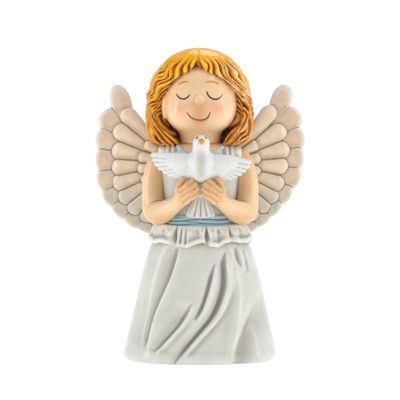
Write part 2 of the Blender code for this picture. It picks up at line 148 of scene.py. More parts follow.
class Clay:
    """A block of space, in millimetres, that forms are added to and cut from."""

    def __init__(self, low, high, step):
        self.step = step * DETAIL
        self.low = np.array(low, float)
        counts = np.ceil((np.array(high, float) - self.low) / self.step).astype(int) + 1
        self.axes = [self.low[i] + self.step * np.arange(counts[i]) for i in range(3)]
        self.depth = np.full(counts, 50.0)
        self.steps = []

    def window(self, low, high):
        spans = []
        for axis, a, b in zip(self.axes, low, high):
            spans.append(slice(int(np.searchsorted(axis, a)), int(np.searchsorted(axis, b)) + 1))
        places = [axis[span] for axis, span in zip(self.axes, spans)]
        return tuple(spans), np.meshgrid(*places, indexing="ij", sparse=True)

    def change(self, form, join, soft, box):
        low, high = box if box else (self.low, [axis[-1] for axis in self.axes])
        span, places = self.window(low, high)
        self.depth[span] = join(self.depth[span], form(*places), soft)
        self.steps.append((form, join, soft, box))

    def add(self, form, soft=0.0, box=None):
        self.change(form, smooth_min, soft, box)

    def cut(self, form, soft):
        self.change(lambda x, y, z: -form(x, y, z), smooth_max, soft, None)

    def at(self, points):
        """The distance at loose points, from the same forms."""
        depth = np.full(len(points), 50.0)
        for form, join, soft, box in self.steps:
            if box is None:
                depth = join(depth, form(*points.T), soft)
                continue
            inside = np.all((points >= np.array(box[0])) & (points <= np.array(box[1])), axis=1)
            if inside.any():
                depth[inside] = join(depth[inside], form(*points[inside].T), soft)
        return depth

    def slope(self, points):
        """Unit direction out of the clay at loose points, and how fast the distance grows."""
        reach, rises = 0.05, []
        for axis in range(3):
            offset = np.zeros(3)
            offset[axis] = reach
            rises.append((self.at(points + offset) - self.at(points - offset)) / (2.0 * reach))
        rise = np.stack(rises, axis=1)
        steepness = np.linalg.norm(rise, axis=1)
        return rise / np.maximum(steepness, 1e-6)[:, None], steepness

    def skin(self):
        """Points and quads of the clay's surface, with the points settled onto the exact form."""
        points, quads = skin_of(self.depth, self.low, self.step)
        for _ in range(2):
            out, steepness = self.slope(points)
            move = self.at(points) / np.maximum(steepness, 0.3)
            points = points - out * np.clip(move, -0.4 * self.step, 0.4 * self.step)[:, None]
        return points, quads


# The four cells round a grid edge, as steps along the two axes across it
CELLS_ROUND_EDGE = ((0, 0), (-1, 0), (-1, -1), (0, -1))


def skin_of(depth, low, step):
    """The zero surface as a closed quad mesh: a point in each crossed cell, a quad for each crossed edge."""
    inside = depth < 0.0
    size = np.array(depth.shape) - 1
    unit = np.eye(3, dtype=int)
    crossings, keys, places = [], [], []
    for axis in range(3):
        near, far = [slice(None)] * 3, [slice(None)] * 3
        near[axis], far[axis] = slice(0, -1), slice(1, None)
        ends = np.argwhere(inside[tuple(near)] != inside[tuple(far)])
        a, b = depth[tuple(ends.T)], depth[tuple((ends + unit[axis]).T)]
        place = ends + (a / (a - b))[:, None] * unit[axis]
        first, second = unit[(axis + 1) % 3], unit[(axis + 2) % 3]
        owners = [ends + da * first + db * second for da, db in CELLS_ROUND_EDGE]
        held = [np.all((owner >= 0) & (owner < size), axis=1) for owner in owners]
        for owner, fits in zip(owners, held):
            keys.append(np.ravel_multi_index(owner[fits].T, size))
            places.append(place[fits])
        crossings.append((ends, owners, np.all(held, axis=0)))
    used, where = np.unique(np.concatenate(keys), return_inverse=True)
    places, counts = np.concatenate(places), np.bincount(where)
    points = np.stack([np.bincount(where, places[:, i]) / counts for i in range(3)], axis=1)
    cells = np.full(size, -1)
    cells.ravel()[used] = np.arange(len(used))
    quads = []
    for ends, owners, whole in crossings:
        ring = np.stack([cells[tuple(owner[whole].T)] for owner in owners], axis=1)
        low_inside = inside[tuple(ends[whole].T)]
        quads.append(np.where(low_inside[:, None], ring, ring[:, ::-1]))
    return low + step * points, np.concatenate(quads)


# Meshes


class Net:
    """The edges of a mesh's faces, for means over each point's neighbours."""

    def __init__(self, faces, count):
        following = np.roll(faces, -1, axis=1)
        self.a, self.b, self.count = faces.T.ravel(), following.T.ravel(), count
        self.ties = np.maximum(self.total(np.ones(len(self.a)), np.ones(len(self.a))), 1.0)

    def total(self, at_a, at_b):
        return np.bincount(self.a, at_a, self.count) + np.bincount(self.b, at_b, self.count)

    def around(self, values):
        return self.total(values[self.b], values[self.a]) / self.ties


def spread(values, faces, passes):
    """Values at the points, evened out along the faces' edges."""
    net = Net(faces, len(values))
    for _ in range(passes):
        values = 0.4 * values + 0.6 * net.around(values)
    return values


def normals_of(points, faces):
    spans = points[faces[:, 2]] - points[faces[:, 0]]
    crosses = np.cross(spans, points[faces[:, -1]] - points[faces[:, 1]])
    crosses = np.tile(crosses, (faces.shape[1], 1))
    total = [np.bincount(faces.T.ravel(), crosses[:, i], len(points)) for i in range(3)]
    total = np.stack(total, axis=1)
    return total / np.maximum(np.linalg.norm(total, axis=1), 1e-9)[:, None]


def hollowness(points, faces, passes):
    """How hollow the surface is at each point, per millimetre: above zero in grooves, below it on ridges."""
    net = Net(faces, len(points))
    around = np.stack([net.around(points[:, i]) for i in range(3)], axis=1)
    lengths = np.linalg.norm(points[net.a] - points[net.b], axis=1)
    reach = net.total(lengths, lengths) / net.ties
    bend = np.sum((around - points) * normals_of(points, faces), axis=1)
    return spread(4.0 * bend / np.maximum(reach, 0.02) ** 2, faces, passes)


def make_mesh(name, points, faces, marks):
    """An object from points in millimetres, with named values at them.

    A face that says its last corner twice is a triangle.
    """
    mesh = bpy.data.meshes.new(name)
    kept = np.ones(faces.shape, bool)
    kept[:, -1] = faces[:, -1] != faces[:, -2]
    counts = kept.sum(axis=1)
    mesh.vertices.add(len(points))
    mesh.vertices.foreach_set("co", (points * MM).astype(np.float32).ravel())
    mesh.loops.add(counts.sum())
    mesh.loops.foreach_set("vertex_index", faces[kept].astype(np.int32))
    mesh.polygons.add(len(faces))
    mesh.polygons.foreach_set("loop_start", (np.cumsum(counts) - counts).astype(np.int32))
    mesh.update(calc_edges=True)
    mesh.validate()
    mesh.shade_smooth()
    for key, values in marks.items():
        layer = mesh.attributes.new(key, "FLOAT", "POINT")
        layer.data.foreach_set("value", np.asarray(values, np.float32))
    obj = bpy.data.objects.new(name, mesh)
    bpy.context.scene.collection.objects.link(obj)
    return obj


def make_wrapped(name, rings, marks=None, closed_loop=False):
    """An object from rows of points round an axis. Unless the rows close into a loop, each end is capped."""
    rows, columns = rings.shape[:2]
    points = rings.reshape(-1, 3)
    index = np.arange(rows * columns).reshape(rows, columns)
    below = np.roll(index, -1, axis=0)
    if not closed_loop:
        index, below = index[:-1], below[:-1]
    corners = [index, below, np.roll(below, -1, axis=1), np.roll(index, -1, axis=1)]
    quads = np.stack(corners, axis=-1).reshape(-1, 4)
    layers = {"hollow": hollowness(points, quads, 2), **(marks or {})}
    faces, tips = [quads], []
    for row in () if closed_loop else (0, rows - 1):
        ring = np.arange(columns) + row * columns
        tip = np.full(columns, len(points) + len(tips))
        tips.append(rings[row].mean(axis=0))
        ends = (np.roll(ring, -1), ring) if row else (ring, np.roll(ring, -1))
        faces.append(np.stack([tip, *ends, ends[1]], axis=1))
    points = np.vstack([points, *tips])
    layers = {key: np.append(values, np.zeros(len(tips))) for key, values in layers.items()}
    return make_mesh(name, points, np.vstack(faces), layers)


# Materials


def linear(colour):
    """Shader values of a colour given as 0 to 255 screen values."""
    values = []
    for part in colour:
        share = part / 255.0
        values.append(share / 12.92 if share <= 0.04045 else ((share + 0.055) / 1.055) ** 2.4)
    return (*values, 1.0)


class Paint:
    """A painted, lacquered finish, built from nodes."""

    def __init__(self, name, coat, roughness=0.3, coat_roughness=0.12, glow=0.0):
        self.material = bpy.data.materials.new(name)
        self.material.use_nodes = True
        self.tree = self.material.node_tree
        self.shader = self.tree.nodes["Principled BSDF"]
        self.fix({"Roughness": roughness, "Specular IOR Level": 0.25})
        self.fix({"Coat Weight": coat, "Coat Roughness": coat_roughness, "Subsurface Weight": glow})
        if glow > 0.0:
            self.fix({"Subsurface Radius": (1.0, 0.6, 0.4), "Subsurface Scale": 1.2 * MM})
        self.place = self.node("ShaderNodeTexCoord").outputs["Object"]

    def fix(self, settings):
        """Sets constants on the shader's own sockets."""
        for name, value in settings.items():
            self.shader.inputs[name].default_value = value

    def node(self, kind, **settings):
        made = self.tree.nodes.new(kind)
        for key, value in settings.items():
            setattr(made, key, value)
        return made

    def feed(self, socket, value):
        """Gives a socket a colour, a number or another node's output."""
        if isinstance(value, tuple):
            socket.default_value = linear(value)
        elif isinstance(value, float):
            socket.default_value = value
        else:
            self.tree.links.new(value, socket)

    def mark(self, name):
        """The value stored at the mesh's points under that name."""
        return self.node("ShaderNodeAttribute", attribute_name=name).outputs["Fac"]

    def noise(self, size, detail=4.0, stretch=(1.0, 1.0, 1.0)):
        """A cloudy value whose lumps are about size millimetres across."""
        mapping = self.node("ShaderNodeMapping")
        mapping.inputs["Scale"].default_value = stretch
        self.feed(mapping.inputs["Vector"], self.place)
        made = self.node("ShaderNodeTexNoise")
        self.feed(made.inputs["Scale"], 1.0 / (size * MM))
        self.feed(made.inputs["Detail"], detail)
        self.feed(made.inputs["Vector"], mapping.outputs["Vector"])
        return made.outputs["Fac"]

    def span(self, value, low, high, to_low=0.0, to_high=1.0):
        made = self.node("ShaderNodeMapRange", interpolation_type="SMOOTHSTEP")
        sockets = ("Value", "From Min", "From Max", "To Min", "To Max")
        for key, given in zip(sockets, (value, low, high, to_low, to_high)):
            self.feed(made.inputs[key], given)
        return made.outputs["Result"]

    def uneven(self, size, low, high):
        """A value that wanders between low and high, in lumps of that size."""
        return self.span(self.noise(size), 0.3, 0.7, low, high)

    def sum(self, first, second, operation="ADD"):
        made = self.node("ShaderNodeMath", operation=operation)
        self.feed(made.inputs[0], first)
        self.feed(made.inputs[1], second)
        return made.outputs["Value"]

    def times(self, first, second):
        return self.sum(first, second, "MULTIPLY")

    def ramp(self, value, stops):
        made = self.node("ShaderNodeValToRGB")
        while len(made.color_ramp.elements) < len(stops):
            made.color_ramp.elements.new(0.5)
        for element, (place, colour) in zip(made.color_ramp.elements, stops):
            element.position = place
            element.color = linear(colour)
        self.feed(made.inputs["Fac"], value)
        return made.outputs["Color"]

    def mix(self, share, first, second):
        made = self.node("ShaderNodeMix", data_type="RGBA")
        for index, value in ((0, share), (6, first), (7, second)):
            self.feed(made.inputs[index], value)
        return made.outputs[2]

    def finish(self, colour, roughness, height, relief):
        """Joins up the colour, the roughness and a height whose relief is in millimetres."""
        made = self.node("ShaderNodeBump")
        self.feed(made.inputs["Strength"], 1.0)
        self.feed(made.inputs["Distance"], relief * MM)
        self.feed(made.inputs["Height"], height)
        self.feed(self.shader.inputs["Normal"], made.outputs["Normal"])
        self.feed(self.shader.inputs["Base Color"], colour)
        self.feed(self.shader.inputs["Roughness"], roughness)
        return self.material


def dress_material():
    """Pearly white paint: greyer in folds as painted shade, paler on ridges as a painted highlight, and a
    thin brown tint, deepened in recesses as painted shade, where marked.
    """
    paint = Paint("dress_paint", coat=0.45, coat_roughness=0.18, glow=0.08)
    shade = (166, 163, 152)
    hollow, cloud = paint.mark("hollow"), paint.noise(6.0)
    # Greyer where the surface is hollow: painted shade in the folds.
    colour = paint.mix(paint.span(hollow, -0.15, 0.5), (216, 216, 208), shade)
    # Greyer down the skirt's fold valleys: painted shade.
    colour = paint.mix(paint.times(paint.mark("fold"), 0.7), colour, shade)
    # A thin brown tint, deepened as painted shade under the frill and in the gathers and pleats.
    colour = paint.mix(paint.times(paint.mark("wash"), 0.8), colour, (166, 138, 108))
    above_hem = paint.sum(1.0, paint.mark("hem"), "SUBTRACT")
    # Paler on raised ridges above the hem: a painted highlight.
    ridge_highlight = paint.times(above_hem, paint.span(hollow, -0.12, -0.62, 0.0, 0.65))
    colour = paint.mix(ridge_highlight, colour, (238, 238, 233))
    colour = paint.mix(paint.span(cloud, 0.35, 0.75, 0.0, 0.12), colour, shade)
    height = paint.sum(paint.times(paint.noise(0.35, 3.0), 0.3), cloud)
    return paint.finish(colour, paint.uneven(2.5, 0.26, 0.38), height, 0.02)


def skin_material():
    paint = Paint("skin_paint", coat=0.55, coat_roughness=0.13, glow=0.1)
    cloud = paint.noise(5.0)
    colour = paint.mix(paint.span(cloud, 0.35, 0.7, 0.0, 0.2), (245, 212, 170), (241, 204, 158))
    # Darker brown where the surface is hollow: painted shade in creases.
    colour = paint.mix(paint.span(paint.mark("hollow"), 0.1, 1.3, 0.0, 0.8), colour, (178, 106, 52))
    # Ochre where marked: painted shade below the nose, under the chin, at the face's edges and on the arms'
    # inner sides and undersides.
    colour = paint.mix(paint.times(paint.mark("tan"), 0.85), colour, (212, 156, 92))
    colour = paint.mix(paint.times(paint.mark("blush"), 0.55), colour, (240, 158, 124))
    height = paint.sum(paint.times(paint.noise(0.5, 3.0), 0.2), cloud)
    return paint.finish(colour, paint.uneven(1.8, 0.24, 0.34), height, 0.012)


def hair_material():
    """Golden paint: brown in the gaps, deepened as painted shade, darker as painted shade where marked, with
    cream painted highlights on some ridges.
    """
    paint = Paint("golden_hair_paint", coat=0.6, coat_roughness=0.04)
    paint.fix({"Specular IOR Level": 0.12})
    ridge = paint.sum(paint.mark("ridge"), paint.span(paint.noise(1.6, 5.0), 0.2, 0.8, -0.1, 0.1))
    golds = [(110, 54, 2), (160, 86, 4), (226, 144, 6), (246, 176, 12), (254, 202, 56)]
    browns = [(98, 48, 2), (144, 74, 4), (200, 114, 6), (236, 152, 16)]
    # Brown in the gaps between strands, a tint deepened as painted shade, rising to gold on their crests.
    bright = paint.ramp(ridge, list(zip((0.0, 0.28, 0.5, 0.76, 1.0), golds)))
    deep = paint.ramp(ridge, list(zip((0.0, 0.38, 0.66, 1.0), browns)))
    # The darker ramp is a shaded copy of the gold, mixed in by the painted shade mark.
    colour = paint.mix(paint.mark("shade"), bright, deep)
    # Cream on some crests, mostly at the upper right: painted highlights standing in for reflections of the
    # lamps.
    highlight_share = paint.times(paint.mark("dry"), paint.span(paint.noise(2.4, 3.0), 0.35, 0.6))
    colour = paint.mix(highlight_share, colour, (252, 220, 176))
    strand = paint.noise(0.5, 3.0, (1.0, 1.0, 0.25))
    return paint.finish(colour, paint.uneven(1.2, 0.16, 0.26), strand, 0.025)


def wing_material():
    paint = Paint("wing_paint", coat=0.55, coat_roughness=0.14, glow=0.05)
    cloud = paint.noise(3.0, 5.0)
    blotch = paint.span(cloud, 0.35, 0.7)
    middle = paint.mix(blotch, (234, 212, 184), (224, 200, 172))
    low = paint.mix(blotch, (204, 196, 176), (193, 184, 164))
    colour = paint.mix(paint.mark("low"), middle, low)
    # Brown where a feather lies under the row above it: a painted shadow.
    colour = paint.mix(paint.mark("tuck"), colour, (172, 140, 108))
    colour = paint.mix(paint.mark("rim"), colour, (220, 214, 201))
    # Brown where the surface is hollow: painted shade in the grooves between feathers.
    colour = paint.mix(paint.span(paint.mark("hollow"), 0.04, 0.75, 0.0, 0.95), colour, (134, 108, 86))
    height = paint.sum(paint.times(paint.noise(0.35, 3.0), 0.4), cloud)
    return paint.finish(colour, paint.uneven(1.5, 0.28, 0.4), height, 0.03)


def sash_material():
    paint = Paint("sash_paint", coat=0.5, coat_roughness=0.15, glow=0.05)
    # Darker blue where the surface is hollow: painted shade in the sash's folds.
    fold = paint.span(paint.mark("hollow"), -0.5, 0.8)
    streak = paint.noise(2.2, 4.0, (0.35, 0.35, 1.6))
    colour = paint.mix(fold, (182, 210, 216), (98, 142, 158))
    colour = paint.mix(paint.span(streak, 0.4, 0.75, 0.0, 0.4), colour, (128, 170, 184))
    return paint.finish(colour, paint.uneven(1.5, 0.28, 0.4), paint.noise(0.4, 3.0), 0.02)


def plain_material(name, light, dark, coat):
    """One paint, a little uneven."""
    paint = Paint(name, coat=coat)
    colour = paint.mix(paint.span(paint.noise(1.5), 0.35, 0.75), light, dark)
    return paint.finish(colour, paint.uneven(1.05, 0.25, 0.38), paint.noise(0.35, 3.0), 0.03)


def dove_material():
    paint = Paint("dove_paint", coat=0.5, coat_roughness=0.14, glow=0.06)
    # Grey where the surface is hollow: painted shade.
    colour = paint.mix(paint.span(paint.mark("hollow"), 0.1, 1.4), (230, 231, 229), (160, 156, 148))
    # A brown-grey tint on the tail, deepened as painted shade in its grooves and under the wings.
    colour = paint.mix(paint.times(paint.mark("wash"), 0.8), colour, (174, 158, 140))
    # A grey band down the middle of the dove's chest: painted shade, as if lit from both sides.
    colour = paint.mix(paint.mark("breast"), colour, (172, 166, 154))
    return paint.finish(colour, paint.uneven(1.5, 0.24, 0.36), paint.noise(0.4, 3.0), 0.035)


def beak_material():
    paint = Paint("beak_paint", coat=0.8, coat_roughness=0.08)
    colour = paint.mix(paint.span(paint.noise(0.9), 0.35, 0.65), (248, 168, 36), (224, 124, 18))
    return paint.finish(colour, paint.uneven(0.8, 0.2, 0.3), paint.noise(0.3, 3.0), 0.03)


def foam_material():
    """Fine closed-cell foam, with pores."""
    paint = Paint("pad_foam", coat=0.0)
    pores = paint.span(paint.noise(0.45, 2.0), 0.52, 0.66)
    colour = paint.mix(paint.span(paint.noise(3.0), 0.35, 0.7), (70, 70, 72), (56, 56, 59))
    colour = paint.mix(pores, colour, (34, 34, 36))
    return paint.finish(colour, paint.uneven(1.2, 0.82, 0.95), paint.times(pores, -1.0), 0.06)


def steel_material():
    """Drawn steel, with a brush-finished grain along the pin."""
    paint = Paint("pin_steel", coat=0.0)
    paint.fix({"Metallic": 1.0})
    drawn = paint.noise(0.3, 3.0, (1.0, 0.15, 1.0))
    colour = paint.mix(paint.span(drawn, 0.3, 0.7), (196, 198, 202), (158, 161, 166))
    return paint.finish(colour, paint.span(drawn, 0.3, 0.7, 0.22, 0.4), drawn, 0.01)


def repaint_carried(frame):
    """Better materials for the CAD nodes that stay as they are."""
    foam, steel = foam_material(), steel_material()
    for name, node in frame["nodes"].items():
        if name == "base_pad" or "_pin" in name:
            node.data.materials.clear()
            node.data.materials.append(foam if name == "base_pad" else steel)


# Putting a finished piece in the scene

# The middle of the CAD nodes that each piece stands for, in the design's own millimetres
DESIGN_HEIGHT = 120.0
DESIGN_MIDDLES = {
    "head": (0.0, -1.9, 96.1),
    "hair": (0.0, 1.236, 100.8),
    "right_wing": (-22.483, 14.754, 77.0),
    "left_wing": (22.483, 14.754, 77.0),
    "left_arm": (12.461, -7.964, 67.522),
    "right_arm": (-12.461, -7.964, 67.522),
    "dove_body": (0.7, -16.733, 71.75),
    "dove_beak": (0.3, -20.542, 85.31),
    "skirt": (0.0, 0.0, 30.0),
    "peplum": (0.0, 0.0, 47.776),
    "sash": (0.0, 0.0, 54.325),
    "bodice": (0.0, 0.026, 67.625),
    "neckline_trim": (0.0, -1.966, 80.891),
}


def middle_of(nodes):
    """The middle of the CAD nodes' shared box, in metres."""
    boxes = [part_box(node) for node in nodes]
    low = np.min([box[0] for box in boxes], axis=0)
    high = np.max([box[1] for box in boxes], axis=0)
    return 0.5 * (low + high)


def seat(obj, nodes):
    """Scales a piece to the CAD part's real height and stands it where its CAD nodes are."""
    scale = (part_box("hair")[1].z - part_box("skirt")[0].z) / (DESIGN_HEIGHT * MM)
    shift = middle_of(nodes) - np.array(DESIGN_MIDDLES[nodes[0]]) * MM * scale
    obj.data.transform(Matrix.Translation(Vector(shift)) @ Matrix.Scale(scale, 4))


def place(obj, material, slot_name, *nodes, on=()):
    """Dresses a piece, which replaces its CAD nodes or is painted on others."""
    obj.data.materials.clear()
    obj.data.materials.append(material)
    seat(obj, nodes or on)
    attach(obj, "root")
    if nodes:
        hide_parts(*nodes)


def sculpted(name, clay, marks, passes, even=0):
    """The clay as a meshed object. marks is None or turns its points and quads into named values."""
    points, quads = clay.skin()
    points = np.stack([spread(points[:, axis], quads, even) for axis in range(3)], axis=1)
    values = {"hollow": hollowness(points, quads, passes)}
    if marks:
        values.update(marks(points, quads))
    return make_mesh(name, points, quads, values)


# Head and neck

BODICE_LEVELS = [51.5, 57.0, 62.0, 68.0, 74.0, 78.0, 80.4, 82.0, 83.0, 83.6, 83.9]
BODICE_WIDTHS = [13.6, 13.9, 14.2, 14.8, 15.4, 16.4, 16.7, 15.9, 13.8, 10.4, 5.4]


def bodice_share(z):
    """Front-to-back size of the bodice over its width: it thins towards the shoulders."""
    return WAIST_DEPTH_SHARE - 0.06 * smooth_step(76.0, 83.0, z)


def chest(x, y, z):
    """Distance to the skin that shows inside the neckline, just proud of the bodice."""
    wide = np.interp(z, BODICE_LEVELS, BODICE_WIDTHS) + 0.25
    body = 0.7 * (np.hypot(x, y / bodice_share(z)) - wide)
    body = np.maximum(body, 0.7 * (z - 84.0))
    front = np.interp(np.abs(x), [0.0, 3.4, 6.1, 8.3, 9.0], [78.2, 78.9, 80.4, 82.3, 83.4]) - z
    back = 7.0 * (np.hypot(x / 9.0, y / 7.4) - 1.0)
    return np.maximum(body, np.where(y < 0.0, front, back))


def make_head_clay():
    clay = Clay((-17.5, -18.5, 76.0), (17.5, 15.0, 116.0), 0.36)
    middle = (0.0, -1.0, 98.8)
    lower = ball(middle, (14.2, 13.6, 13.0))
    upper = ball(middle, (14.2, 13.6, 15.4))

    def skull(x, y, z):
        return np.where(z < middle[2], lower(x, y, z), upper(x, y, z))

    clay.add(skull)
    for side in (-1, 1):
        clay.add(ball((side * 5.6, -8.3, 95.4), (5.6, 5.5, 5.2)), 6.0)
    clay.add(ball((-13.8, -4.6, 97.4), (1.0, 1.7, 4.4)), 1.4)
    clay.add(limb((0.0, -1.2, 88.6), (0.0, -1.0, 81.0), 8.1, 7.8), 2.2)
    clay.add(chest, 1.6)
    clay.add(ball((-0.35, -14.6, 100.5), (1.75, 1.7, 1.7)), 0.9)
    return clay


def front_of(clay, x, z, start):
    """Where a line from in front, begun at start, first meets the clay at those places, as y values."""
    x, z = np.broadcast_arrays(np.asarray(x, float), np.asarray(z, float))

    def is_outside(y):
        return clay.at(np.stack([x, y, z], axis=-1).reshape(-1, 3)).reshape(x.shape) > 0.0

    levels = np.linspace(start, 0.0, 101)
    low, still_out = np.full(x.shape, start), np.ones(x.shape, bool)
    for level in levels:
        still_out &= is_outside(np.full(x.shape, level))
        low = np.where(still_out, level, low)
    high = low + levels[1] - levels[0]
    for _ in range(18):
        middle = 0.5 * (low + high)
        outside = is_outside(middle)
        low, high = np.where(outside, middle, low), np.where(outside, high, middle)
    return low


def spline(a, b, c, d, t):
    """A place between b and c on the smooth curve through all four."""
    bend = (2 * a - 5 * b + 4 * c - d) * t * t + (3 * b - a - 3 * c + d) * t**3
    return 0.5 * (2 * b + (c - a) * t + bend)


def curve_through(corners, count):
    """Evenly spread points on a smooth curve through a few corners."""
    corners = np.array(corners, float)
    padded = np.vstack([2 * corners[0] - corners[1], corners, 2 * corners[-1] - corners[-2]])
    places = np.linspace(0.0, len(corners) - 1 - 1e-6, count)
    return np.array([spline(*padded[int(place) : int(place) + 4], place % 1.0) for place in places])


def painted_line(
    name, clay, corners, width, material, ends, rise=0.1, shift=0.0, reach=-20.0, on=("head",)
):
    """A raised stroke of paint on the front of the clay. ends says how blunt its tapered ends are."""
    path = curve_through(corners, 48)
    along = np.gradient(path, axis=0)
    along /= np.linalg.norm(along, axis=1)[:, None]
    across = np.stack([-along[:, 1], along[:, 0]], axis=1)
    share = np.linspace(0.0, 1.0, len(path))
    taper = smooth_step(0.0, 0.35, share + ends[0]) * smooth_step(0.0, 0.35, 1.0 - share + ends[1])
    half = 0.5 * width * (0.35 + 0.65 * taper)
    offsets = np.array([-1.0, -0.7, 0.0, 0.7, 1.0, 0.6, 0.0, -0.6])
    lifts = np.array([-0.05, 0.75, 1.0, 0.75, -0.05, -0.6, -0.6, -0.6])
    rings = []
    for offset, lift in zip(offsets, lifts):
        spots = path + across * (half * offset + shift)[:, None]
        y = front_of(clay, spots[:, 0], spots[:, 1], reach)
        points = np.stack([spots[:, 0], y, spots[:, 1]], axis=1)
        out, _ = clay.slope(points)
        rings.append(points + out * (rise * lift * (0.5 + 0.5 * taper))[:, None])
    rows = np.stack(rings, axis=1)
    place(make_wrapped(name, rows), material, "painted_skin_resin", on=on)


def make_head(skin):
    clay = make_head_clay()

    def marks(points, quads):
        x, y, z = points.T
        front = smooth_step(-4.0, -8.0, y)
        blush = bell(np.hypot(x + 7.4, z - 97.0), 3.3) + bell(np.hypot(x - 6.4, z - 97.2), 3.3)
        # Ochre painted shade: below the nose, at the middle of the brow, along the chin, on the throat under
        # it and at the face's edges by the hair.
        middle = bell((x + 0.4) / 1.0, 3.8) * smooth_step(88.5, 93.0, z) * smooth_step(102.0, 98.5, z)
        brow = bell(np.hypot((x + 0.5) / 2.0, z - 107.0), 3.6)
        chin = smooth_step(92.0, 86.5, z) * smooth_step(12.0, 6.0, np.abs(x)) * smooth_step(84.0, 86.0, z)
        throat = 0.3 * smooth_step(87.0, 84.5, z)
        rim = smooth_step(12.8, 14.8, np.abs(x)) * smooth_step(-9.0, -2.0, y)
        tan = middle * front + 0.3 * brow + 0.3 * chin + throat + 0.5 * rim
        return {"blush": np.clip(blush * front, 0, 1), "tan": np.clip(tan, 0.0, 1.0)}

    place(sculpted("head_and_neck", clay, marks, 2), skin, "painted_skin_resin", "head")
    lash = plain_material("lash_paint", (60, 34, 20), (34, 20, 12), 0.15)
    brow = plain_material("brow_paint", (214, 156, 40), (184, 124, 26), 0.2)
    mouth = plain_material("mouth_paint", (146, 70, 50), (118, 54, 38), 0.2)
    lip = plain_material("lip_paint", (222, 132, 108), (206, 112, 90), 0.3)
    strokes = (
        (
            "left_lash", lash, 0.6, (0.3, 0.0),
            [(2.5, 103.7), (3.0, 102.4), (4.2, 101.25), (5.9, 100.8), (7.4, 101.35), (8.6, 102.5)],
        ),
        (
            "right_lash", lash, 0.6, (0.1, 0.1),
            [(-9.2, 102.8), (-8.1, 101.45), (-6.5, 100.9), (-5.0, 101.45), (-3.8, 102.7)],
        ),
        (
            "left_brow", brow, 0.62, (0.0, 0.1),
            [(1.8, 107.1), (3.0, 107.45), (4.7, 107.4), (6.1, 106.95), (7.2, 106.4)],
        ),
        ("right_brow", brow, 0.62, (0.1, 0.0), [(-8.5, 106.1), (-7.5, 106.8), (-6.2, 107.3), (-4.3, 107.4)]),
    )
    for name, paint, width, ends, corners in strokes:
        painted_line(name, clay, corners, width, paint, ends=ends)
    smile = [(-5.1, 95.8), (-3.9, 94.3), (-2.0, 93.25), (0.2, 92.9), (2.2, 93.5), (3.3, 94.7), (3.8, 95.9)]
    painted_line("mouth_stroke", clay, smile, 0.5, mouth, ends=(0.2, 0.2))
    painted_line("lower_lip", clay, smile[1:-1], 0.6, lip, rise=0.08, shift=-0.38, ends=(0.0, 0.0))


# Hair

HAIRLINE = [
    (-1.5, 113.6), (-2.4, 112.2), (-4.0, 111.0), (-6.7, 109.3), (-10.3, 107.4), (-12.1, 105.1),
    (-13.4, 102.3), (-14.0, 98.9), (-14.2, 95.0), (-12.8, 90.9), (-10.4, 88.4), (-8.2, 85.9),
    (-7.4, 81.0), (7.4, 81.0), (8.2, 85.9), (11.0, 89.4), (12.9, 93.4), (13.6, 98.9),
    (12.9, 102.8), (11.4, 105.5), (9.0, 107.7), (4.8, 109.1), (1.8, 111.0), (-0.3, 112.4),
]


def strand_edges():
    """Where the grooves between strands lie round the head, in turns, from the parting at zero."""
    rng = np.random.default_rng(11)
    widths = rng.uniform(0.62, 1.5, STRANDS)
    edges = np.concatenate([[0.0], np.cumsum(widths)])
    return edges / edges[-1]


STRAND_EDGES = strand_edges()


def hair_radius(z):
    """Half-width of the bell of hair at a height."""
    levels = [78.0, 80.8, 82.3, 84.6, 86.8, 90.0, 94.5, HAIR_SPRING]
    sides = [10.0, 14.0, 17.0, 19.4, 20.2, 20.9, 20.9, HAIR_RADIUS]
    dome = np.sqrt(np.maximum(HAIR_RADIUS**2 - (z - HAIR_SPRING) ** 2, 0.5))
    return np.where(z > HAIR_SPRING, dome, np.interp(z, levels, sides))


def round_hair(x, y):
    """A place seen from the hair's axis, with the bell of hair made round: it is shallower in front."""
    depth_share = HAIR_DEPTH_SHARE - 0.16 * smooth_step(4.0, -6.0, y)
    return x - HAIR_MIDDLE[0], (y - HAIR_MIDDLE[1]) / depth_share


def hair_flow(x, y, z):
    """Place round the head along the fall of the strands, the fall from the crown, and where the parting is.

    The parting is given as the turn away from it and as how far inside its bare wedge a place lies. On the
    inner wall beside the face the strands of the outer form carry straight on from front to back.
    """
    px, py = round_hair(x, y)
    radius = hair_radius(z)
    front = -np.sqrt(np.maximum(radius**2 - px**2, 0.05))
    inward = smooth_step(1.2, 2.8, radius - np.hypot(px, py)) * smooth_step(1.0, -3.0, y)
    turn = np.arctan2(px, -(py + inward * (front - py))) + 0.036
    height = np.clip((z - HAIR_SPRING) / HAIR_RADIUS, -1.0, 1.0)
    side_fall = HAIR_RADIUS * math.pi / 2 + HAIR_SPRING - z
    fall = np.where(z > HAIR_SPRING, np.arccos(height) * HAIR_RADIUS, side_fall)
    away = np.abs(turn)
    behind = 2.0 - away / (math.pi / 2)
    fringe_side = np.where(away < math.pi / 2, 1.0, behind)
    lower_side = np.where(away < math.pi / 2, smooth_step(0.1, 0.5, away), behind)
    lower = 0.05 * np.maximum(fall - 22.0, 0.0) - 0.11 * np.maximum(fall - 37.0, 0.0)
    early = np.clip(fall - 9.0, 0.0, 5.0)
    sweep = 0.0017 * early**2 + 0.017 * np.maximum(fall - 14.0, 0.0)
    apart = away - sweep * fringe_side - lower * lower_side
    bare = np.maximum(-apart, 0.0) * smooth_step(23.0, 19.0, fall)
    apart = np.maximum(apart, -0.25 * np.maximum(fall - 20.0, 0.0))
    swing = smooth_step(9.0, 20.0, fall) * smooth_step(0.0, 0.2, np.abs(apart))
    ripple = np.sin(fall / 1.85 + 2.4 * np.sin(turn * 3.0) + 1.0)
    wave = (0.085 + 0.03 * np.sin(turn * 5.0 + 1.0)) * ripple + 0.05 * np.sin(fall / 4.3 + turn * 2.0)
    return apart * np.sign(turn) + swing * wave, fall, away, bare


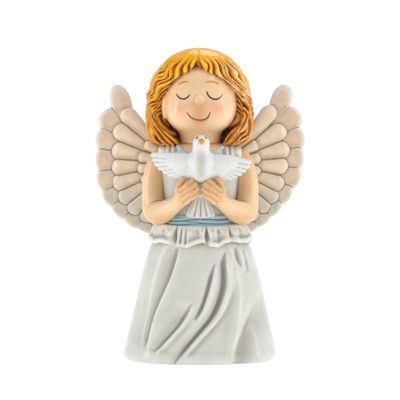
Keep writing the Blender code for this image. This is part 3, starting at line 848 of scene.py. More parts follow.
def strand_shape(x, y, z):
    """How far the strands are sunk, in millimetres, and how near each place is to the top of its ridge."""
    turn, fall, away, bare = hair_flow(x, y, z)
    share = np.mod(turn / FULL_TURN, 1.0)
    index = np.clip(np.searchsorted(STRAND_EDGES, share, side="right") - 1, 0, STRANDS - 1)
    start, stop = STRAND_EDGES[index], STRAND_EDGES[index + 1]
    across = 2.0 * (share - start) / (stop - start) - 1.0
    ridge = 0.55 * (1.0 - across * across) + 0.45 * np.cos(0.5 * math.pi * across) ** 2
    ridge = ridge + (0.85 - ridge) * smooth_step(0.0, 0.06, bare)
    phase = np.mod(index * 2.399, FULL_TURN)
    below_crown = smooth_step(11.0, 17.5, fall)
    parting = bell(away, 0.045) * smooth_step(3.0, 7.0, fall)
    crest = smooth_step(0.0, 0.5, ridge)
    pulse = 0.22 * np.sin(fall / 2.7 + phase) * crest
    lift = 0.35 * np.sin(fall / 4.1 + 1.7 * index) * crest
    split = 0.2 * bell(across + 0.3 * np.sin(fall / 3.3 + phase), 0.2) * crest
    groove = 1.75 + 0.35 * smooth_step(24.0, 32.0, fall)
    sink = (0.08 + 0.92 * below_crown) * groove * (1.0 - ridge)
    sink = sink + below_crown * (0.3 - lift - pulse + split) + 0.5 * parting
    return sink, np.clip(ridge - 0.3 * parting, 0.0, 1.0)


def hair_bell(x, y, z):
    """Distance to the smooth outer form of the hair."""
    px, py = round_hair(x, y)
    out = np.sqrt(px * px + py * py)
    dome = np.sqrt(out * out + (z - HAIR_SPRING) ** 2) - HAIR_RADIUS
    wall = (out - hair_radius(z)) * 0.9
    return np.where(z > HAIR_SPRING, dome, wall)


def make_hair(material):
    clay = Clay((-23.0, -18.5, 79.5), (23.0, 20.5, 121.5), 0.375)

    def locks(x, y, z):
        sink, ridge = strand_shape(x, y, z)
        tips = 82.6 - 1.5 * ridge + 0.12 * np.abs(x) - z
        return smooth_max(0.85 * (hair_bell(x, y, z) + sink - 0.25), tips, 1.6)

    def face_window(x, y, z):
        _, ridge = strand_shape(x, y, z)
        fringe = smooth_step(102.0, 106.0, z)
        wide = outline_distance(x, z, HAIRLINE) + 0.8 * (ridge - 0.5) * smooth_step(1.0, 4.0, np.abs(x + 1.4))
        lobes = smooth_step(92.0, 87.0, z)
        flare = (0.85 - 0.6 * fringe - 0.6 * lobes) * (-y - 3.2 - 3.0 * fringe)
        return np.maximum(0.75 * (wide - np.maximum(flare, 0.0)), y - 3.0)

    clay.add(locks)
    clay.cut(face_window, 1.2)
    clay.cut(ball((0.0, -12.0, 82.0), (8.0, 11.0, 6.5)), 2.0)

    def marks(points, quads):
        x, y, z = points.T
        _, ridge = strand_shape(x, y, z)
        fall = hair_flow(x, y, z)[1]
        # Painted shade: darker down the lower hair, more on its right side.
        shade = smooth_step(22.0, 36.0, fall) * (0.66 + 0.26 * smooth_step(0.0, 8.0, x))
        # The inner wall of the hair by the face is darkened: painted shade.
        inside = smooth_step(1.8, -0.4, outline_distance(x, z, HAIRLINE)) * smooth_step(2.0, -4.0, y)
        crown = smooth_step(17.5, 11.0, fall)
        value = ridge + (0.74 - ridge) * 0.88 * crown
        # Cream on the strands' crests, strongest at the upper right: painted highlights standing in for
        # reflections of the lamps.
        right = smooth_step(2.0, 11.0, x) * smooth_step(119.0, 115.0, z)
        right = right * (0.4 + 0.6 * smooth_step(96.0, 104.0, z))
        dry = smooth_step(0.86 - 0.3 * right, 0.97 - 0.1 * right, ridge) * (0.15 + 0.85 * right)
        dry = dry * (1.0 - crown) * smooth_step(6.0, -2.0, y)
        return {
            "ridge": np.clip(value - 0.25 * inside, 0.0, 1.0),
            "shade": np.clip(shade, 0.0, 1.0),
            "dry": np.clip(dry, 0.0, 1.0),
        }

    place(sculpted("hair_locks", clay, marks, 2, even=2), material, "painted_golden_hair", "hair")


# The angel's wings. Each feather is (root x, root z, tip x, tip z, half width, length of its rounded end)

FAN_MIDDLE = (15.7, 76.4)
RIGHT_FEATHERS = (
    (
        (25.5, 80, 32.8, 105.2, 5, 9.5), (17, 79, 38.5, 93.8, 5.4, 4.4), (12, 77.5, 40.4, 85.2, 4.9, 3),
        (12, 76.2, 40.7, 75.9, 5.1, 2.6), (12, 74.5, 40.1, 67.3, 4.9, 2.6), (12, 73, 37.6, 60.6, 4.5, 2.6),
        (12, 72, 33.3, 55.2, 4.5, 2.6), (12, 71, 27.7, 50.8, 4.4, 2.6), (12, 70, 22.4, 48.4, 4.2, 2.6),
        (12, 66, 17.6, 46.8, 3.8, 2.6),
    ),
    (
        (13, 77.5, 30.4, 95.9, 3.9, 4.6), (13, 76.8, 33.7, 88.8, 4.2, 4), (13, 76, 34.5, 80.3, 4.2, 3.6),
        (13, 75, 34.5, 73, 4.1, 3.4), (13, 73.5, 34.1, 66.3, 3.9, 3.2), (13, 72, 31.6, 60.3, 3.7, 3),
        (13, 70.5, 27.5, 55.5, 3.6, 3), (13, 69, 22, 52, 3.5, 3), (13, 64, 17.5, 50.5, 3.3, 3),
    ),
    (
        (12, 77, 22, 83.2, 2.9, 2.6), (12, 76, 24.5, 77.6, 3, 2.6), (12, 74.5, 24.8, 72.7, 2.8, 2.5),
        (12, 72, 23.4, 68.2, 2.7, 2.5), (12, 69, 20.5, 63.6, 2.8, 2.5), (12, 64, 18, 58.6, 2.8, 2.5),
    ),
)
LEFT_FEATHERS = (
    (
        (25.5, 80, 33.3, 105.3, 5, 9.5), (17, 79, 38.5, 94.6, 5.3, 4.4), (12, 77.5, 40.3, 85.6, 4.9, 3),
        (12, 76.2, 40.2, 77.1, 4.9, 2.6), (12, 74.5, 39, 68.9, 4.7, 2.6), (12, 73, 35.3, 61.8, 4.5, 2.6),
        (12, 72, 30.4, 55.8, 4.4, 2.6), (12, 71, 25.1, 51.1, 4.3, 2.6), (12, 70, 20.1, 48.3, 4.2, 2.6),
    ),
    (
        (13, 77.5, 29, 97, 3.8, 4.6), (13, 76.8, 33.3, 88.8, 4.2, 4), (13, 76, 34.9, 80.7, 4.1, 3.6),
        (13, 75, 34.3, 73.7, 4, 3.4), (13, 73.5, 32.5, 65.9, 3.9, 3.2), (13, 72, 30.1, 60.5, 3.6, 3),
        (13, 70.5, 26.5, 56.3, 3.5, 3), (13, 69, 21.5, 52.6, 3.4, 3), (13, 64, 17, 51, 3.3, 3),
    ),
    (
        (12, 77, 22.8, 82.8, 2.8, 2.6), (12, 76, 23.9, 76.9, 3, 2.6), (12, 74.5, 23.7, 71.5, 2.8, 2.5),
        (12, 72, 21.8, 66.6, 2.8, 2.5), (12, 69, 19, 62, 2.8, 2.5), (12, 64, 17, 57.8, 2.8, 2.5),
    ),
)
ROW_THICKNESS = (1.25, 2.2, 3.1)  # half of it, outermost row first
WING_SWEEP = 0.287  # how fast a wing's middle plane falls back on its way out
WING_SWEEP_COSINE = 0.96
WING_ROOT = (6.0, 10.8)  # where its middle plane starts, in x and y


def wing_depth(x, y):
    """How far a place lies behind a wing's swept middle plane."""
    return (y - WING_ROOT[1] - (np.abs(x) - WING_ROOT[0]) * WING_SWEEP) * WING_SWEEP_COSINE


def feather_reach(side, root_x, root_z, tip_x, tip_z, width, tip_length, x, z):
    """How near a feather's outline a place is in the wing's plane: 0 on its spine, 1 at its edge."""
    length = math.hypot(tip_x - root_x, tip_z - root_z)
    ux, uz = (tip_x - root_x) / length, (tip_z - root_z) / length
    dx, dz = side * x - root_x, z - root_z
    along, across = dx * ux + dz * uz, dx * uz - dz * ux
    share = np.clip(along / length, 0.0, 1.0)
    half = width * (0.35 + 0.65 * share**0.8)
    past = np.maximum(along - (length - tip_length), 0.0) / tip_length
    short = np.maximum(-along, 0.0) / 3.0
    return np.sqrt((across / half) ** 2 + past**2 + short**2)


def feather_form(reach, deep, thickness):
    """1 on the skin of a feather: a plate with a rounded rim, thinner towards its edges."""
    lean = thickness * (1.0 - 0.34 * np.minimum(reach, 1.0) ** 2)
    return (np.power(reach, 4.0) + np.power(deep / lean, 4.0)) ** 0.25


def feather(side, thickness, *shape):
    """Distance to one slightly domed feather."""

    def distance(x, y, z):
        reach = feather_reach(side, *shape, x, z)
        return (feather_form(reach, np.abs(wing_depth(x, y)), thickness) - 1.0) * thickness * 0.9

    return distance


def make_wing(name, side, rows, material, node):
    low_x, high_x = (3.5, 43.0) if side > 0 else (-43.0, -3.5)
    clay = Clay((low_x, 6.0, 45.0), (high_x, 27.0, 108.0), 0.34)
    clay.add(limb((side * 8.6, 10.6, 64.0), (side * 9.0, 10.8, 79.0), 3.4, 3.6, 0.6))
    for row, feathers in enumerate(rows):
        for one in feathers:
            clay.add(feather(side, ROW_THICKNESS[row], *one), 0.08)

    def marks(points, quads):
        x, _, z = points.T
        nearest, top, tuck = (np.full(len(points), value) for value in (9.0, 0.0, 0.0))
        depth = np.abs(wing_depth(x, points[:, 1]))
        for thickness, feathers in zip(ROW_THICKNESS, rows):
            for one in feathers:
                reach = feather_reach(side, *one, x, z)
                form = feather_form(reach, depth, thickness)
                closer = form < nearest
                nearest = np.where(closer, form, nearest)
                outermost = thickness == ROW_THICKNESS[0]
                top = np.where(closer, reach * (1.0 if outermost else 0.94), top)
                start = 0.5 if outermost else 0.0
                # Painted shadow on the row below, just beyond the edge of each feather that lies over it.
                tuck = np.where(closer, start, np.maximum(tuck, smooth_step(1.45, 1.0, reach)))
        fan = np.hypot(np.abs(x) - FAN_MIDDLE[0], z - FAN_MIDDLE[1])
        rim = smooth_step(0.62, 0.86, top) * smooth_step(10.0, 18.0, fan)
        low = smooth_step(74.0, 58.0, z)
        tuck = 0.6 * spread(tuck, quads, 3) * (1.0 - 0.75 * low)
        return {"rim": 0.95 * spread(rim, quads, 2), "tuck": tuck, "low": low}

    place(sculpted(name, clay, marks, 2), material, "painted_wing_beige", node)


# Arms and hands


def make_arm(name, side, material, nodes):
    low_x, high_x = (-0.6, 25.0) if side > 0 else (-25.0, 0.6)
    clay = Clay((low_x, -22.0, 49.0), (high_x, 8.0, 86.0), 0.3)
    joints = [
        ((15.9, 0.5, 77.8), 3.3),
        ((16.9, 0.2, 74.6), 3.95),
        ((18.0, -0.4, 69.0), 4.15),
        ((18.1, -1.6, 62.0), 4.25),
        ((17.4, -3.6, 57.6), 4.5),
        ((14.6, -8.0, 57.4), 4.35),
        ((11.2, -12.0, 59.6), 3.5),
        ((8.2, -15.0, 62.0), 2.7),
    ]
    flow = curve_through([(side * x, y, z, radius) for (x, y, z), radius in joints], 43)
    for (*start, start_radius), (*end, end_radius) in zip(flow, flow[1:]):
        clay.add(limb(start, end, start_radius, end_radius), 0.0, box_round(start, end, 7.0))
    clay.add(limb((side * 8.0, -15.6, 62.4), (side * 6.4, -16.8, 64.2), 2.5, 2.7, 0.8), 1.6)
    clay.add(ball((side * 6.6, -16.5, 63.8), (3.1, 2.2, 3.2)), 1.0)
    fingers = (
        ((7.4, -17.9, 66.4), (5.2, -19.4, 68.2), (3.3, -18.8, 69.7), 1.12),
        ((6.9, -18.3, 64.9), (4.1, -20.1, 67.1), (1.9, -19.3, 68.6), 1.12),
        ((6.2, -18.4, 63.3), (3.5, -20.2, 65.4), (1.2, -19.3, 66.9), 1.1),
        ((5.4, -18.1, 61.8), (3.2, -19.6, 63.7), (1.0, -18.8, 65.2), 1.0),
    )
    thumb = ((8.5, -16.4, 63.6), (8.5, -16.9, 67.2), (6.7, -16.8, 70.4), 1.35)
    for knuckle, middle, tip, radius in (*fingers, thumb):
        for a, b, soft in ((knuckle, middle, 0.3), (middle, tip, 0.18)):
            start = (side * a[0], a[1], a[2])
            end = (side * b[0], b[1], b[2])
            clay.add(limb(start, end, radius, radius * 0.94), soft, box_round(start, end, 3.0))

    def marks(points, quads):
        x, y, z = points.T
        across = np.abs(x)
        # Ochre painted shade: over all but the arm's outermost edge, under the forearm, between thumb and
        # fingers and on the fingers.
        outer = 0.12 + 0.45 * smooth_step(21.5, 18.5, across) * smooth_step(60.0, 66.0, z)
        under = 0.6 * smooth_step(59.5, 54.6, z)
        between = 0.5 * bell(np.hypot(across - 6.8, z - 68.4), 1.6) * smooth_step(-18.2, -16.8, y)
        finger = 0.22 * smooth_step(9.5, 7.5, across) * smooth_step(-15.0, -16.5, y)
        tan = np.clip(outer + under + between + finger, 0.0, 1.0)
        return {"tan": tan, "blush": np.zeros(len(points))}

    place(sculpted(name, clay, marks, 2), material, "painted_skin_resin", *nodes)


def box_round(start, end, reach):
    low = [min(a, b) - reach for a, b in zip(start, end)]
    high = [max(a, b) + reach for a, b in zip(start, end)]
    return low, high


# The dove

DOVE_NODES = ("dove_body", "dove_left_wing", "dove_right_wing", "dove_tail")
DOVE_WINGS = {
    -1: (
        ((-3.4, 78.4), (-10.4, 78.7), (-18.0, 79.7), 1.9, 0.85),
        ((-3.4, 77.6), (-10.0, 77.4), (-17.4, 77.9), 2.0, 0.9),
        ((-3.4, 77.0), (-9.6, 76.4), (-16.6, 76.2), 2.1, 0.9),
        ((-3.2, 76.4), (-9.0, 75.4), (-15.2, 74.7), 2.1, 0.9),
        ((-3.2, 75.8), (-8.4, 74.4), (-13.5, 73.4), 2.1, 0.9),
        ((-3.0, 75.0), (-7.4, 73.4), (-11.6, 72.3), 2.1, 0.9),
        ((-3.0, 74.4), (-6.4, 72.8), (-9.6, 71.5), 2.0, 0.9),
        ((-3.0, 73.8), (-5.4, 72.2), (-7.6, 70.8), 2.0, 0.9),
    ),
    1: (
        ((3.6, 78.2), (10.6, 77.8), (18.5, 76.9), 1.9, 0.85),
        ((3.6, 77.4), (10.4, 76.4), (17.9, 75.2), 2.0, 0.9),
        ((3.6, 76.6), (10.0, 75.4), (16.6, 73.8), 2.1, 0.9),
        ((3.6, 76.0), (9.4, 74.6), (15.0, 72.5), 2.1, 0.9),
        ((3.4, 75.4), (8.6, 73.8), (13.2, 71.6), 2.1, 0.9),
        ((3.4, 74.8), (7.8, 73.2), (11.4, 70.9), 2.1, 0.9),
        ((3.4, 74.2), (6.8, 72.6), (9.4, 70.6), 2.0, 0.9),
        ((3.4, 73.8), (5.8, 72.2), (7.6, 70.4), 2.0, 0.9),
    ),
}


def make_dove(material):
    clay = Clay((-21.0, -23.0, 52.5), (21.5, -9.5, 90.0), 0.28)
    for feathers in DOVE_WINGS.values():
        for root, middle, tip, thick, slim in feathers:
            a, b, c = (root[0], -15.9, root[1]), (middle[0], -15.5, middle[1]), (tip[0], -15.3, tip[1])
            clay.add(limb(a, b, thick, thick, 0.55), 0.7, box_round(a, b, 4.2))
            clay.add(limb(b, c, thick, slim, 0.5), 0.1, box_round(b, c, 3.6))
    clay.add(ball((-8.0, -15.7, 77.2), (4.4, 1.7, 2.6)), 1.4)
    clay.add(ball((9.0, -15.7, 76.6), (4.8, 1.7, 2.5)), 1.4)
    clay.add(limb((0.3, -16.7, 72.9), (0.3, -17.0, 77.0), 3.9, 3.8), 2.4)
    clay.add(limb((0.3, -17.0, 77.0), (0.35, -16.9, 84.0), 3.7, 3.0), 1.8)
    clay.add(ball((0.35, -16.9, 84.2), (3.1, 3.2, 3.2)), 1.0)
    feather_count = 9
    for i in range(feather_count):
        lean = (i - (feather_count - 1) / 2) / (feather_count - 1)
        top = (0.3 + 2.0 * lean, -14.6, 66.0)
        foot = (0.1 + 9.2 * lean, -13.6 - 0.6 * (i % 2), 56.1 + 2.4 * lean * lean + 0.25 * (i % 2))
        clay.add(limb(top, foot, 0.55, 0.92, 0.75), 0.1, box_round(top, foot, 2.6))
    clay.add(ball((0.3, -14.2, 67.0), (2.6, 1.4, 3.6)), 1.0)
    clay.add(limb((0.3, -15.0, 75.4), (0.3, -10.6, 76.0), 2.4, 3.0), 1.2)

    def marks(points, quads):
        x, _, z = points.T
        # A tint on the tail, deepened as painted shade in grooves there and under the wings, and a grey band
        # of painted shade down the chest.
        tail = smooth_step(65.0, 62.0, z)
        grooves = np.clip(hollowness(points, quads, 1), 0.0, 1.6) / 1.6
        wash = tail * (0.3 + 1.2 * grooves)
        under_wing = smooth_step(4.0, 6.0, np.abs(x)) * grooves * smooth_step(81.0, 76.0, z)
        breast = 0.55 * bell(x - 0.3, 1.9) * smooth_step(69.0, 73.0, z) * smooth_step(83.0, 78.0, z)
        return {"wash": np.clip(wash + 0.5 * under_wing, 0.0, 1.0), "breast": breast}

    place(sculpted("dove_sculpt", clay, marks, 1), material, "painted_dove_white", *DOVE_NODES)
    beak = Clay((-2.5, -24.0, 82.0), (3.4, -17.0, 88.5), 0.16)
    beak.add(ball((0.43, -20.1, 85.0), (1.25, 1.1, 1.2)))
    beak.add(limb((0.43, -20.3, 85.0), (0.45, -21.6, 84.5), 0.95, 0.4), 0.5)
    place(sculpted("dove_beak_paint", beak, None, 1), beak_material(), "painted_beak_orange", "dove_beak")
    ink = plain_material("dove_eye_paint", (40, 40, 44), (20, 20, 24), 0.3)
    eyes = {
        "dove_left_eye": [(1.75, 86.75), (2.15, 86.35), (2.5, 85.9)],
        "dove_right_eye": [(-0.9, 86.75), (-1.3, 86.35), (-1.65, 85.9)],
    }
    for name, corners in eyes.items():
        painted_line(name, clay, corners, 0.45, ink, ends=(0.3, 0.1), reach=-24.0, on=DOVE_NODES)


# The dress


def along_profile(profile, rows):
    """Radius and height at even steps along a turned surface's (radius, height) corners."""
    corners = np.array(profile)
    lengths = np.concatenate([[0.0], np.cumsum(np.linalg.norm(np.diff(corners, axis=0), axis=1))])
    places = np.linspace(0.0, lengths[-1], rows)
    return [np.interp(places, lengths, corners[:, i]) for i in range(2)]


def turned(radius, height, columns, depth_share):
    """A turned surface's rows of points, as arrays of radius, turn, x, y and z."""
    r, turn = radius[:, None], np.arange(columns)[None, :] * FULL_TURN / columns
    z = np.broadcast_to(height[:, None], (len(height), columns))
    return r, turn, r * np.sin(turn), -r * depth_share * np.cos(turn), z


def swollen(x, y, z, relief):
    """Rows of points, pushed out from the axis by the relief."""
    swell = 1.0 + relief / np.maximum(np.hypot(x, y), 1.0)
    return np.stack([x * swell, y * swell, z], axis=-1)


def soften(values, passes):
    for _ in range(passes):
        inner = 0.25 * values[:-2] + 0.5 * values[1:-1] + 0.25 * values[2:]
        values = np.concatenate([values[:1], inner, values[-1:]])
    return values


def smooth_line(places, corners):
    """A value at each place along a smooth curve through (place, value) corners, held beyond its ends."""
    path = curve_through(sorted(corners), 60)
    return np.interp(places, path[:, 0], path[:, 1])


# Each fold: its line down the skirt as (height, x), its depth, its width on the left and on the right, and
# the height of the ridge beside it
SKIRT_FOLDS = (
    (
        (
            (46.0, -8.6), (38.4, -10.8), (33.5, -12.5), (27.8, -15.0), (22.4, -17.3), (16.7, -19.3),
            (6.4, -21.8),
        ),
        1.9, 4.2, 1.2, 0.6,
    ),
    (
        ((23.2, -3.5), (19.4, -5.4), (14.8, -8.5), (10.6, -12.3), (6.9, -15.6), (5.1, -17.4)),
        1.9, 4.6, 0.75, 0.9,
    ),
    (((38.5, 5.5), (32.2, 4.2), (26.9, 2.7), (21.7, 0.8), (17.5, -1.4)), 1.7, 2.4, 0.65, 0.55),
    (
        (
            (43.0, 9.2), (33.6, 9.8), (28.4, 9.3), (22.4, 7.3), (17.2, 4.2), (11.9, -0.5), (6.6, -5.2),
            (1.0, -9.8),
        ),
        2.3, 2.9, 0.7, 1.1,
    ),
    (((46.5, 12.8), (43.9, 13.4), (40.9, 14.2), (36.8, 15.3)), 1.3, 1.2, 0.9, 0.6),
    (((46.5, 15.2), (40.0, 17.4), (35.0, 18.4)), 0.7, 0.8, 0.9, 0.3),
)


def fold_relief(x, z, line, depth, left, right, ridge):
    """One fold: a wide slope down from the left, a sharp rise on the right and a rounded ridge beyond it."""
    top, foot = line[0][0], line[-1][0]
    off = x - smooth_line(z, line)
    fade = smooth_step(top + 1.0, top - 7.0, z)
    if foot > 5.0:
        fade = fade * smooth_step(foot - 2.0, foot + 4.0, z)
    else:
        fade = fade * (0.4 + 0.6 * smooth_step(1.0, 8.0, z))
    valley = np.where(off < 0.0, bell(off, left), bell(off, right))
    narrow = np.where(off < 0.0, bell(off, 1.1), bell(off, right))
    past = np.maximum(off - 1.6 * right, 0.0)
    shoulder = smooth_step(0.0, 1.6 * right, off) * bell(past, 1.9 * right + 0.6)
    return fade * (ridge * shoulder - depth * (0.6 * valley + 0.4 * narrow))


def make_skirt(material):
    rim = 17.0  # the radius at which the flat top turns down into the wall
    profile = [
        (0.0, 47.0), (10.0, 47.0), (17.6, 46.6), (18.7, 45.0), (19.3, 43.6), (20.5, 40.6), (21.3, 37.5),
        (23.0, 31.3), (24.9, 22.1), (26.7, 14.4), (28.6, 6.7), (29.2, 3.4), (29.2, 1.9), (28.6, 0.6),
        (27.4, 0.0), (23.4, 0.0), (23.4, 1.55), (6.0, 1.55),
    ]
    radius, height = along_profile(profile, 204)
    radius = np.where((height > 0.3) & (radius > rim), soften(radius, 6), radius)
    r, turn, x, y, z = turned(radius, height, 480, HEM_DEPTH_SHARE)
    front = smooth_step(0.0, 0.35, np.cos(turn))
    back = smooth_step(0.0, 0.35, -np.cos(turn))
    relief = np.zeros_like(x)
    for line, depth, left, right, ridge in SKIRT_FOLDS:
        relief += front * fold_relief(x, z, line, depth, left, right, ridge)
        mirrored = tuple((h, 1.1 * p + 1.5) for h, p in line)
        relief += 0.75 * back * fold_relief(-x, z, mirrored, depth, left, right, ridge)
    slope = smooth_step(27.5, 13.0, z)
    edge = x - np.interp(z, [0.0, 5.6, 11.6, 18.9, 24.7], [13.0, 14.3, 16.3, 18.6, 20.5])
    valley = smooth_step(-2.2, 1.8, edge) * bell(np.maximum(edge - 1.8, 0.0), 5.5)
    relief -= 1.7 * front * valley * slope
    crest = x - np.interp(z, [0.0, 25.0, 36.0, 46.0], [11.0, 14.6, 14.4, 10.6])
    relief += 0.55 * front * bell(crest, 2.2) * smooth_step(2.0, 12.0, z)
    relief += 0.25 * np.sin(turn * 7.0 + 0.8 + z * 0.05) * smooth_step(44.0, 20.0, z)
    outer = smooth_step(46.4, 43.0, z) * np.where(z > 4.0, r > rim, smooth_step(23.4, 27.2, r))
    lip = 0.25 * bell(z - 2.3, 1.5) * (r > 24.0)
    rings = swollen(x, y, z, relief * outer + lip)
    # Painted shade: a brown band just below the frill and grey down the fold valleys.
    marks = {
        "wash": smooth_step(42.6, 45.6, z) * 0.5 * (r > rim),
        "fold": np.clip(-relief * outer / 1.7, 0.0, 1.0) ** 1.3,
        "hem": smooth_step(8.0, 4.5, z),
    }
    place(make_wrapped("skirt_folds", rings, marks), material, "skirt_white_resin", "skirt")


FRILL_REACH = 19.8  # the radius that its gathers are laid out on
# Gathers of the frill, as (place round the front in x, depth, width)
GATHERS = (
    (-15.4, 0.6, 1.5), (-10.2, 2.1, 0.75), (-7.7, 0.8, 0.5), (-5.8, 0.6, 0.5), (-1.6, 0.4, 1.6),
    (2.7, 2.1, 0.85), (7.6, 0.7, 1.4), (12.4, 1.6, 0.75), (16.4, 0.6, 1.0),
)
SIDE_GATHERS = ((-5.4, 0.8), (0.5, 1.3), (5.9, 0.7))  # as (place from front to back in y, depth)
# How far the frill's edge drops or rises, as (place round the front in x, change of height)
FRILL_HEM = (
    (-20.5, 1.4), (-19.0, 0.9), (-17.6, 0.0), (-15.7, 0.5), (-13.7, 0.3), (-9.4, -0.5), (-5.1, -1.2),
    (-1.7, 0.3), (1.0, 1.0), (3.7, -0.5), (7.0, -1.0), (9.7, 0.6), (12.4, 1.1), (15.7, 0.3), (18.0, 0.3),
    (20.5, 1.4),
)


def make_frill(material):
    profile = [
        (9.6, 52.6), (14.4, 52.7), (15.8, 53.4), (17.0, 53.2), (17.9, 52.3), (18.5, 51.0), (18.9, 49.7),
        (19.1, 48.6), (19.3, 47.8), (19.6, 47.2), (20.0, 46.7), (20.2, 46.2), (20.0, 45.5), (19.4, 45.2),
        (18.8, 45.4), (18.4, 46.0), (18.0, 46.9), (17.0, 47.4), (9.6, 47.4), (9.6, 52.6),
    ]
    radius, height = [soften(values, 2)[:-1] for values in along_profile(profile, 111)]
    r, turn, x, y, z = turned(radius, height, 720, FRILL_DEPTH_SHARE)
    share = smooth_step(53.0, 47.6, z) * (r > 15.0)
    fan, deep = FRILL_REACH * np.sin(turn), -FRILL_REACH * np.cos(turn)
    front = smooth_step(-0.15, 0.15, np.cos(turn))
    relief = np.zeros_like(x)
    for place_x, depth, width in GATHERS:
        reach = width * (0.55 + 0.75 * share)
        relief -= front * depth * bell(fan - place_x, reach)
        relief -= (1.0 - front) * depth * bell(fan + place_x * 0.96 + 0.7, reach)
    at_side = smooth_step(0.6, 0.3, np.abs(np.cos(turn)))
    for place_y, depth in SIDE_GATHERS:
        relief -= at_side * depth * bell(deep - place_y, 0.5 + 0.7 * share)
    fine = 0.05 * np.sin(fan * 3.1 + 1.0) * (1.0 - share) * np.abs(np.cos(turn))
    amount = (0.35 + 0.65 * smooth_step(53.0, 50.6, z)) * smooth_step(15.0, 16.4, r)
    hem = np.interp(fan, *zip(*FRILL_HEM)) * front + (1.0 - front) * 0.7 * np.sin(fan * 0.9)
    relief = (relief + fine + 0.35) * amount
    sag = 0.9 * smooth_step(0.2, 1.0, np.cos(turn)) * smooth_step(47.6, 52.0, z)
    rings = swollen(x, y, z + share * hem * smooth_step(51.0, 47.0, z) - sag, relief)
    # A brown band below the sash, deepened in the gathers' hollows as painted shade.
    depth = np.clip(-relief, 0.0, 1.2) / 1.2
    wash = smooth_step(46.9, 49.0, height[:, None]) * smooth_step(52.9, 51.6, height[:, None])
    wash = np.clip(wash * (0.16 + 0.7 * depth) * (r > 15.0), 0.0, 1.0)
    made = make_wrapped("waist_frill", rings, {"wash": wash}, closed_loop=True)
    place(made, material, "painted_white_resin", "peplum")


def make_sash(material):
    profile = [
        (12.4, 56.9), (14.4, 56.9), (15.3, 56.4), (15.7, 55.5), (15.8, 54.4), (15.8, 53.0), (15.6, 52.2),
        (15.0, 51.7), (12.4, 51.6), (12.4, 56.9),
    ]
    radius, height = [soften(values, 4)[:-1] for values in along_profile(profile, 85)]
    r, turn, x, y, z = turned(radius, height, 420, WAIST_DEPTH_SHARE)
    wander = 0.45 * np.sin(2.0 * turn + 0.5) + 0.3 * np.sin(5.0 * turn + 2.0)
    upper = bell(z - 55.0 - wander, 0.34) + 0.6 * bell(z - 54.1 + 0.5 * np.sin(3.0 * turn), 0.22)
    lower = 0.8 * bell(z - 53.3 - 0.8 * wander, 0.3)
    relief = (0.2 * np.sin((z + wander) * 1.9) - 0.45 * (upper + lower)) * smooth_step(13.6, 15.0, r)
    sag = -0.5 * smooth_step(0.3, 1.0, np.cos(turn))
    made = make_wrapped("sash_folds", swollen(x, y, z + sag, relief), closed_loop=True)
    place(made, material, "painted_sash_blue", "sash")


def pleat_relief(x, z):
    """Gathers that fan down from the shoulders."""
    across = np.abs(x)
    weight = smooth_step(7.6, 9.0, across) * smooth_step(76.5, 80.5, z)
    lines = np.sin((across + 0.1 * (z - 80.0)) * 2.6 + 0.7 * np.sin(across * 1.1) + 0.4 * np.sign(x))
    return 0.36 * weight * np.sign(lines) * np.abs(lines) ** 0.7


def make_bodice(material):
    profile = [(4.0, 51.6), (13.6, 51.6)] + list(zip(BODICE_WIDTHS[1:], BODICE_LEVELS[1:])) + [(0.5, 83.9)]
    rough = along_profile(profile, 190)
    above = rough[1] > 53.0
    radius, height = [np.where(above, soften(values, 10), values)[::-1] for values in rough]
    _, turn, x, y, z = turned(radius, height, 520, bodice_share(height[:, None]))
    relief = pleat_relief(x, z) * smooth_step(3.0, 8.0, np.hypot(x, y))
    slow = 0.22 * np.sin(1.05 * x + 0.8) * smooth_step(58.0, 66.0, z) * smooth_step(79.0, 73.0, z)
    relief = relief + slow * smooth_step(0.1, 0.5, np.abs(np.cos(turn)))
    # A light brown tint, deepened in the shoulder pleats' grooves as painted shade.
    wash = np.clip(-pleat_relief(x, z) / 0.36, 0.0, 1.0) * 0.6 + 0.08
    made = make_wrapped("dress_bodice", swollen(x, y, z, relief), {"wash": wash})
    place(made, material, "painted_white_resin", "bodice")


def make_trim():
    """Piping that lies on the bodice round the neck."""
    half = [(0.0, 78.2), (3.4, 78.9), (6.1, 80.4), (8.3, 82.3), (8.9, 83.1), (6.6, 83.5), (0.0, 83.2)]
    at_side = 4
    corners = []
    for i, (x, z) in enumerate(half):
        wide = np.interp(z, BODICE_LEVELS, BODICE_WIDTHS)
        deep = math.sqrt(max(wide * wide - x * x, 0.0)) * bodice_share(z)
        corners.append((x, deep * np.sign(i - at_side), z))
    ring = np.array(corners + [(-x, y, z) for x, y, z in reversed(corners[1:-1])])
    spans = [np.roll(ring, 1 - k, axis=0) for k in range(4)]
    steps, around, radius, proud = np.arange(16) / 16, 14, 0.72, 0.15
    path = np.concatenate([[spline(*span, t) for t in steps] for span in zip(*spans)])
    along = np.roll(path, -1, axis=0) - np.roll(path, 1, axis=0)
    along /= np.linalg.norm(along, axis=1)[:, None]
    outward = np.stack([path[:, 0], path[:, 1], np.full(len(path), 6.0)], axis=1)
    outward -= along * np.sum(outward * along, axis=1)[:, None]
    outward /= np.linalg.norm(outward, axis=1)[:, None]
    sideways = np.cross(along, outward)
    turns = np.arange(around) * FULL_TURN / around
    across, up = np.cos(turns)[None, :, None], np.sin(turns)[None, :, None]
    tube = radius * (outward[:, None] * across + sideways[:, None] * up)
    rings = path[:, None] + tube + proud * outward[:, None]
    material = plain_material("trim_paint", (192, 224, 234), (156, 200, 214), 0.5)
    made = make_wrapped("neck_piping", rings, closed_loop=True)
    place(made, material, "painted_trim_blue", "neckline_trim")


# The room


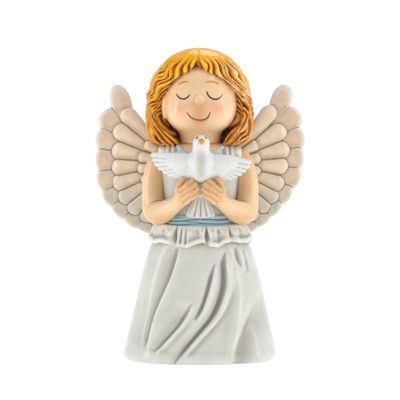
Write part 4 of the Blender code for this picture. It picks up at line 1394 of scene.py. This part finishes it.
def make_room():
    """A round pale floor that curves up at its rim, so that it stands behind the figure from every side."""
    radius, bend, top, columns = 3.0, 0.25, 0.5, 96
    section = [(0.02, 0.0), (0.5, 0.0), (radius - bend, 0.0)]
    for i in range(1, 9):
        turn = 0.25 * FULL_TURN * i / 8
        section.append((radius - bend + bend * math.sin(turn), bend - bend * math.cos(turn)))
    section.append((radius, top))
    points = [(0.0, 0.0, 0.0)]
    turns = [FULL_TURN * i / columns for i in range(columns)]
    for r, z in section:
        points += [(r * math.cos(turn), r * math.sin(turn), z) for turn in turns]
    faces = [(0, 1 + i, 1 + (i + 1) % columns) for i in range(columns)]
    for row in range(len(section) - 1):
        a, b = 1 + row * columns, 1 + (row + 1) * columns
        faces += [(a + i, b + i, b + (i + 1) % columns, a + (i + 1) % columns) for i in range(columns)]
    mesh = bpy.data.meshes.new("backdrop")
    mesh.from_pydata(points, [], faces)
    mesh.shade_smooth()
    floor = bpy.data.objects.new("backdrop", mesh)
    bpy.context.scene.collection.objects.link(floor)
    paint = Paint("backdrop_paper", roughness=0.9, coat=0.0)
    paint.fix({"Base Color": linear((188, 188, 188)), "Emission Color": linear((255, 255, 255))})
    paint.fix({"Emission Strength": 0.68})
    mesh.materials.append(paint.material)


def softbox(name, position, target, width, height, power):
    lamp = bpy.data.lights.new(name, "AREA")
    lamp.shape = "RECTANGLE"
    lamp.size, lamp.size_y = width, height
    lamp.energy = power
    obj = bpy.data.objects.new(name, lamp)
    obj.location = position
    obj.rotation_euler = (Vector(target) - Vector(position)).to_track_quat("-Z", "Y").to_euler()
    bpy.context.scene.collection.objects.link(obj)


def light_room():
    world = bpy.data.worlds.new("soft_studio")
    bpy.context.scene.world = world
    world.use_nodes = True
    background = world.node_tree.nodes["Background"]
    background.inputs["Color"].default_value = (1.0, 1.0, 1.0, 1.0)
    background.inputs["Strength"].default_value = 0.56
    middle = (0.0, 0.0, 0.065)
    softbox("left_box", (-0.62, -0.2, 0.16), middle, 0.1, 0.6, 1.35)
    softbox("right_box", (0.62, -0.24, 0.24), middle, 0.1, 0.6, 0.95)
    softbox("top_box", (0.1, 0.4, 0.95), middle, 0.5, 0.4, 3.0)
    softbox("spark_box", (0.46, 0.02, 0.8), middle, 0.12, 0.12, 1.1)
    bpy.context.scene.view_settings.view_transform = "Standard"


def aim_camera():
    lens = bpy.data.cameras.new("camera")
    lens.lens = 375.0
    lens.sensor_width = 36.0
    lens.clip_end = 10.0
    camera = bpy.data.objects.new("camera", lens)
    tilt, distance = math.radians(3.5), 1.6
    target = Vector((-0.0001, 0.0, 0.0616))
    away = Vector((0.0, -math.cos(tilt), math.sin(tilt))) * distance
    camera.location = target + away
    camera.rotation_euler = (-away).to_track_quat("-Z", "Y").to_euler()
    bpy.context.scene.collection.objects.link(camera)
    bpy.context.scene.camera = camera


def main():
    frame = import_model()
    repaint_carried(frame)
    skin = skin_material()
    dress = dress_material()
    make_head(skin)
    make_hair(hair_material())
    wing_paint = wing_material()
    make_wing("right_wing_feathers", -1, RIGHT_FEATHERS, wing_paint, "right_wing")
    make_wing("left_wing_feathers", 1, LEFT_FEATHERS, wing_paint, "left_wing")
    make_arm("left_arm_and_hand", 1, skin, ("left_arm", "left_hand"))
    make_arm("right_arm_and_hand", -1, skin, ("right_arm", "right_hand"))
    make_dove(dove_material())
    make_skirt(dress)
    make_frill(dress)
    make_sash(sash_material())
    make_bodice(dress)
    make_trim()
    make_room()
    light_room()
    aim_camera()


main()
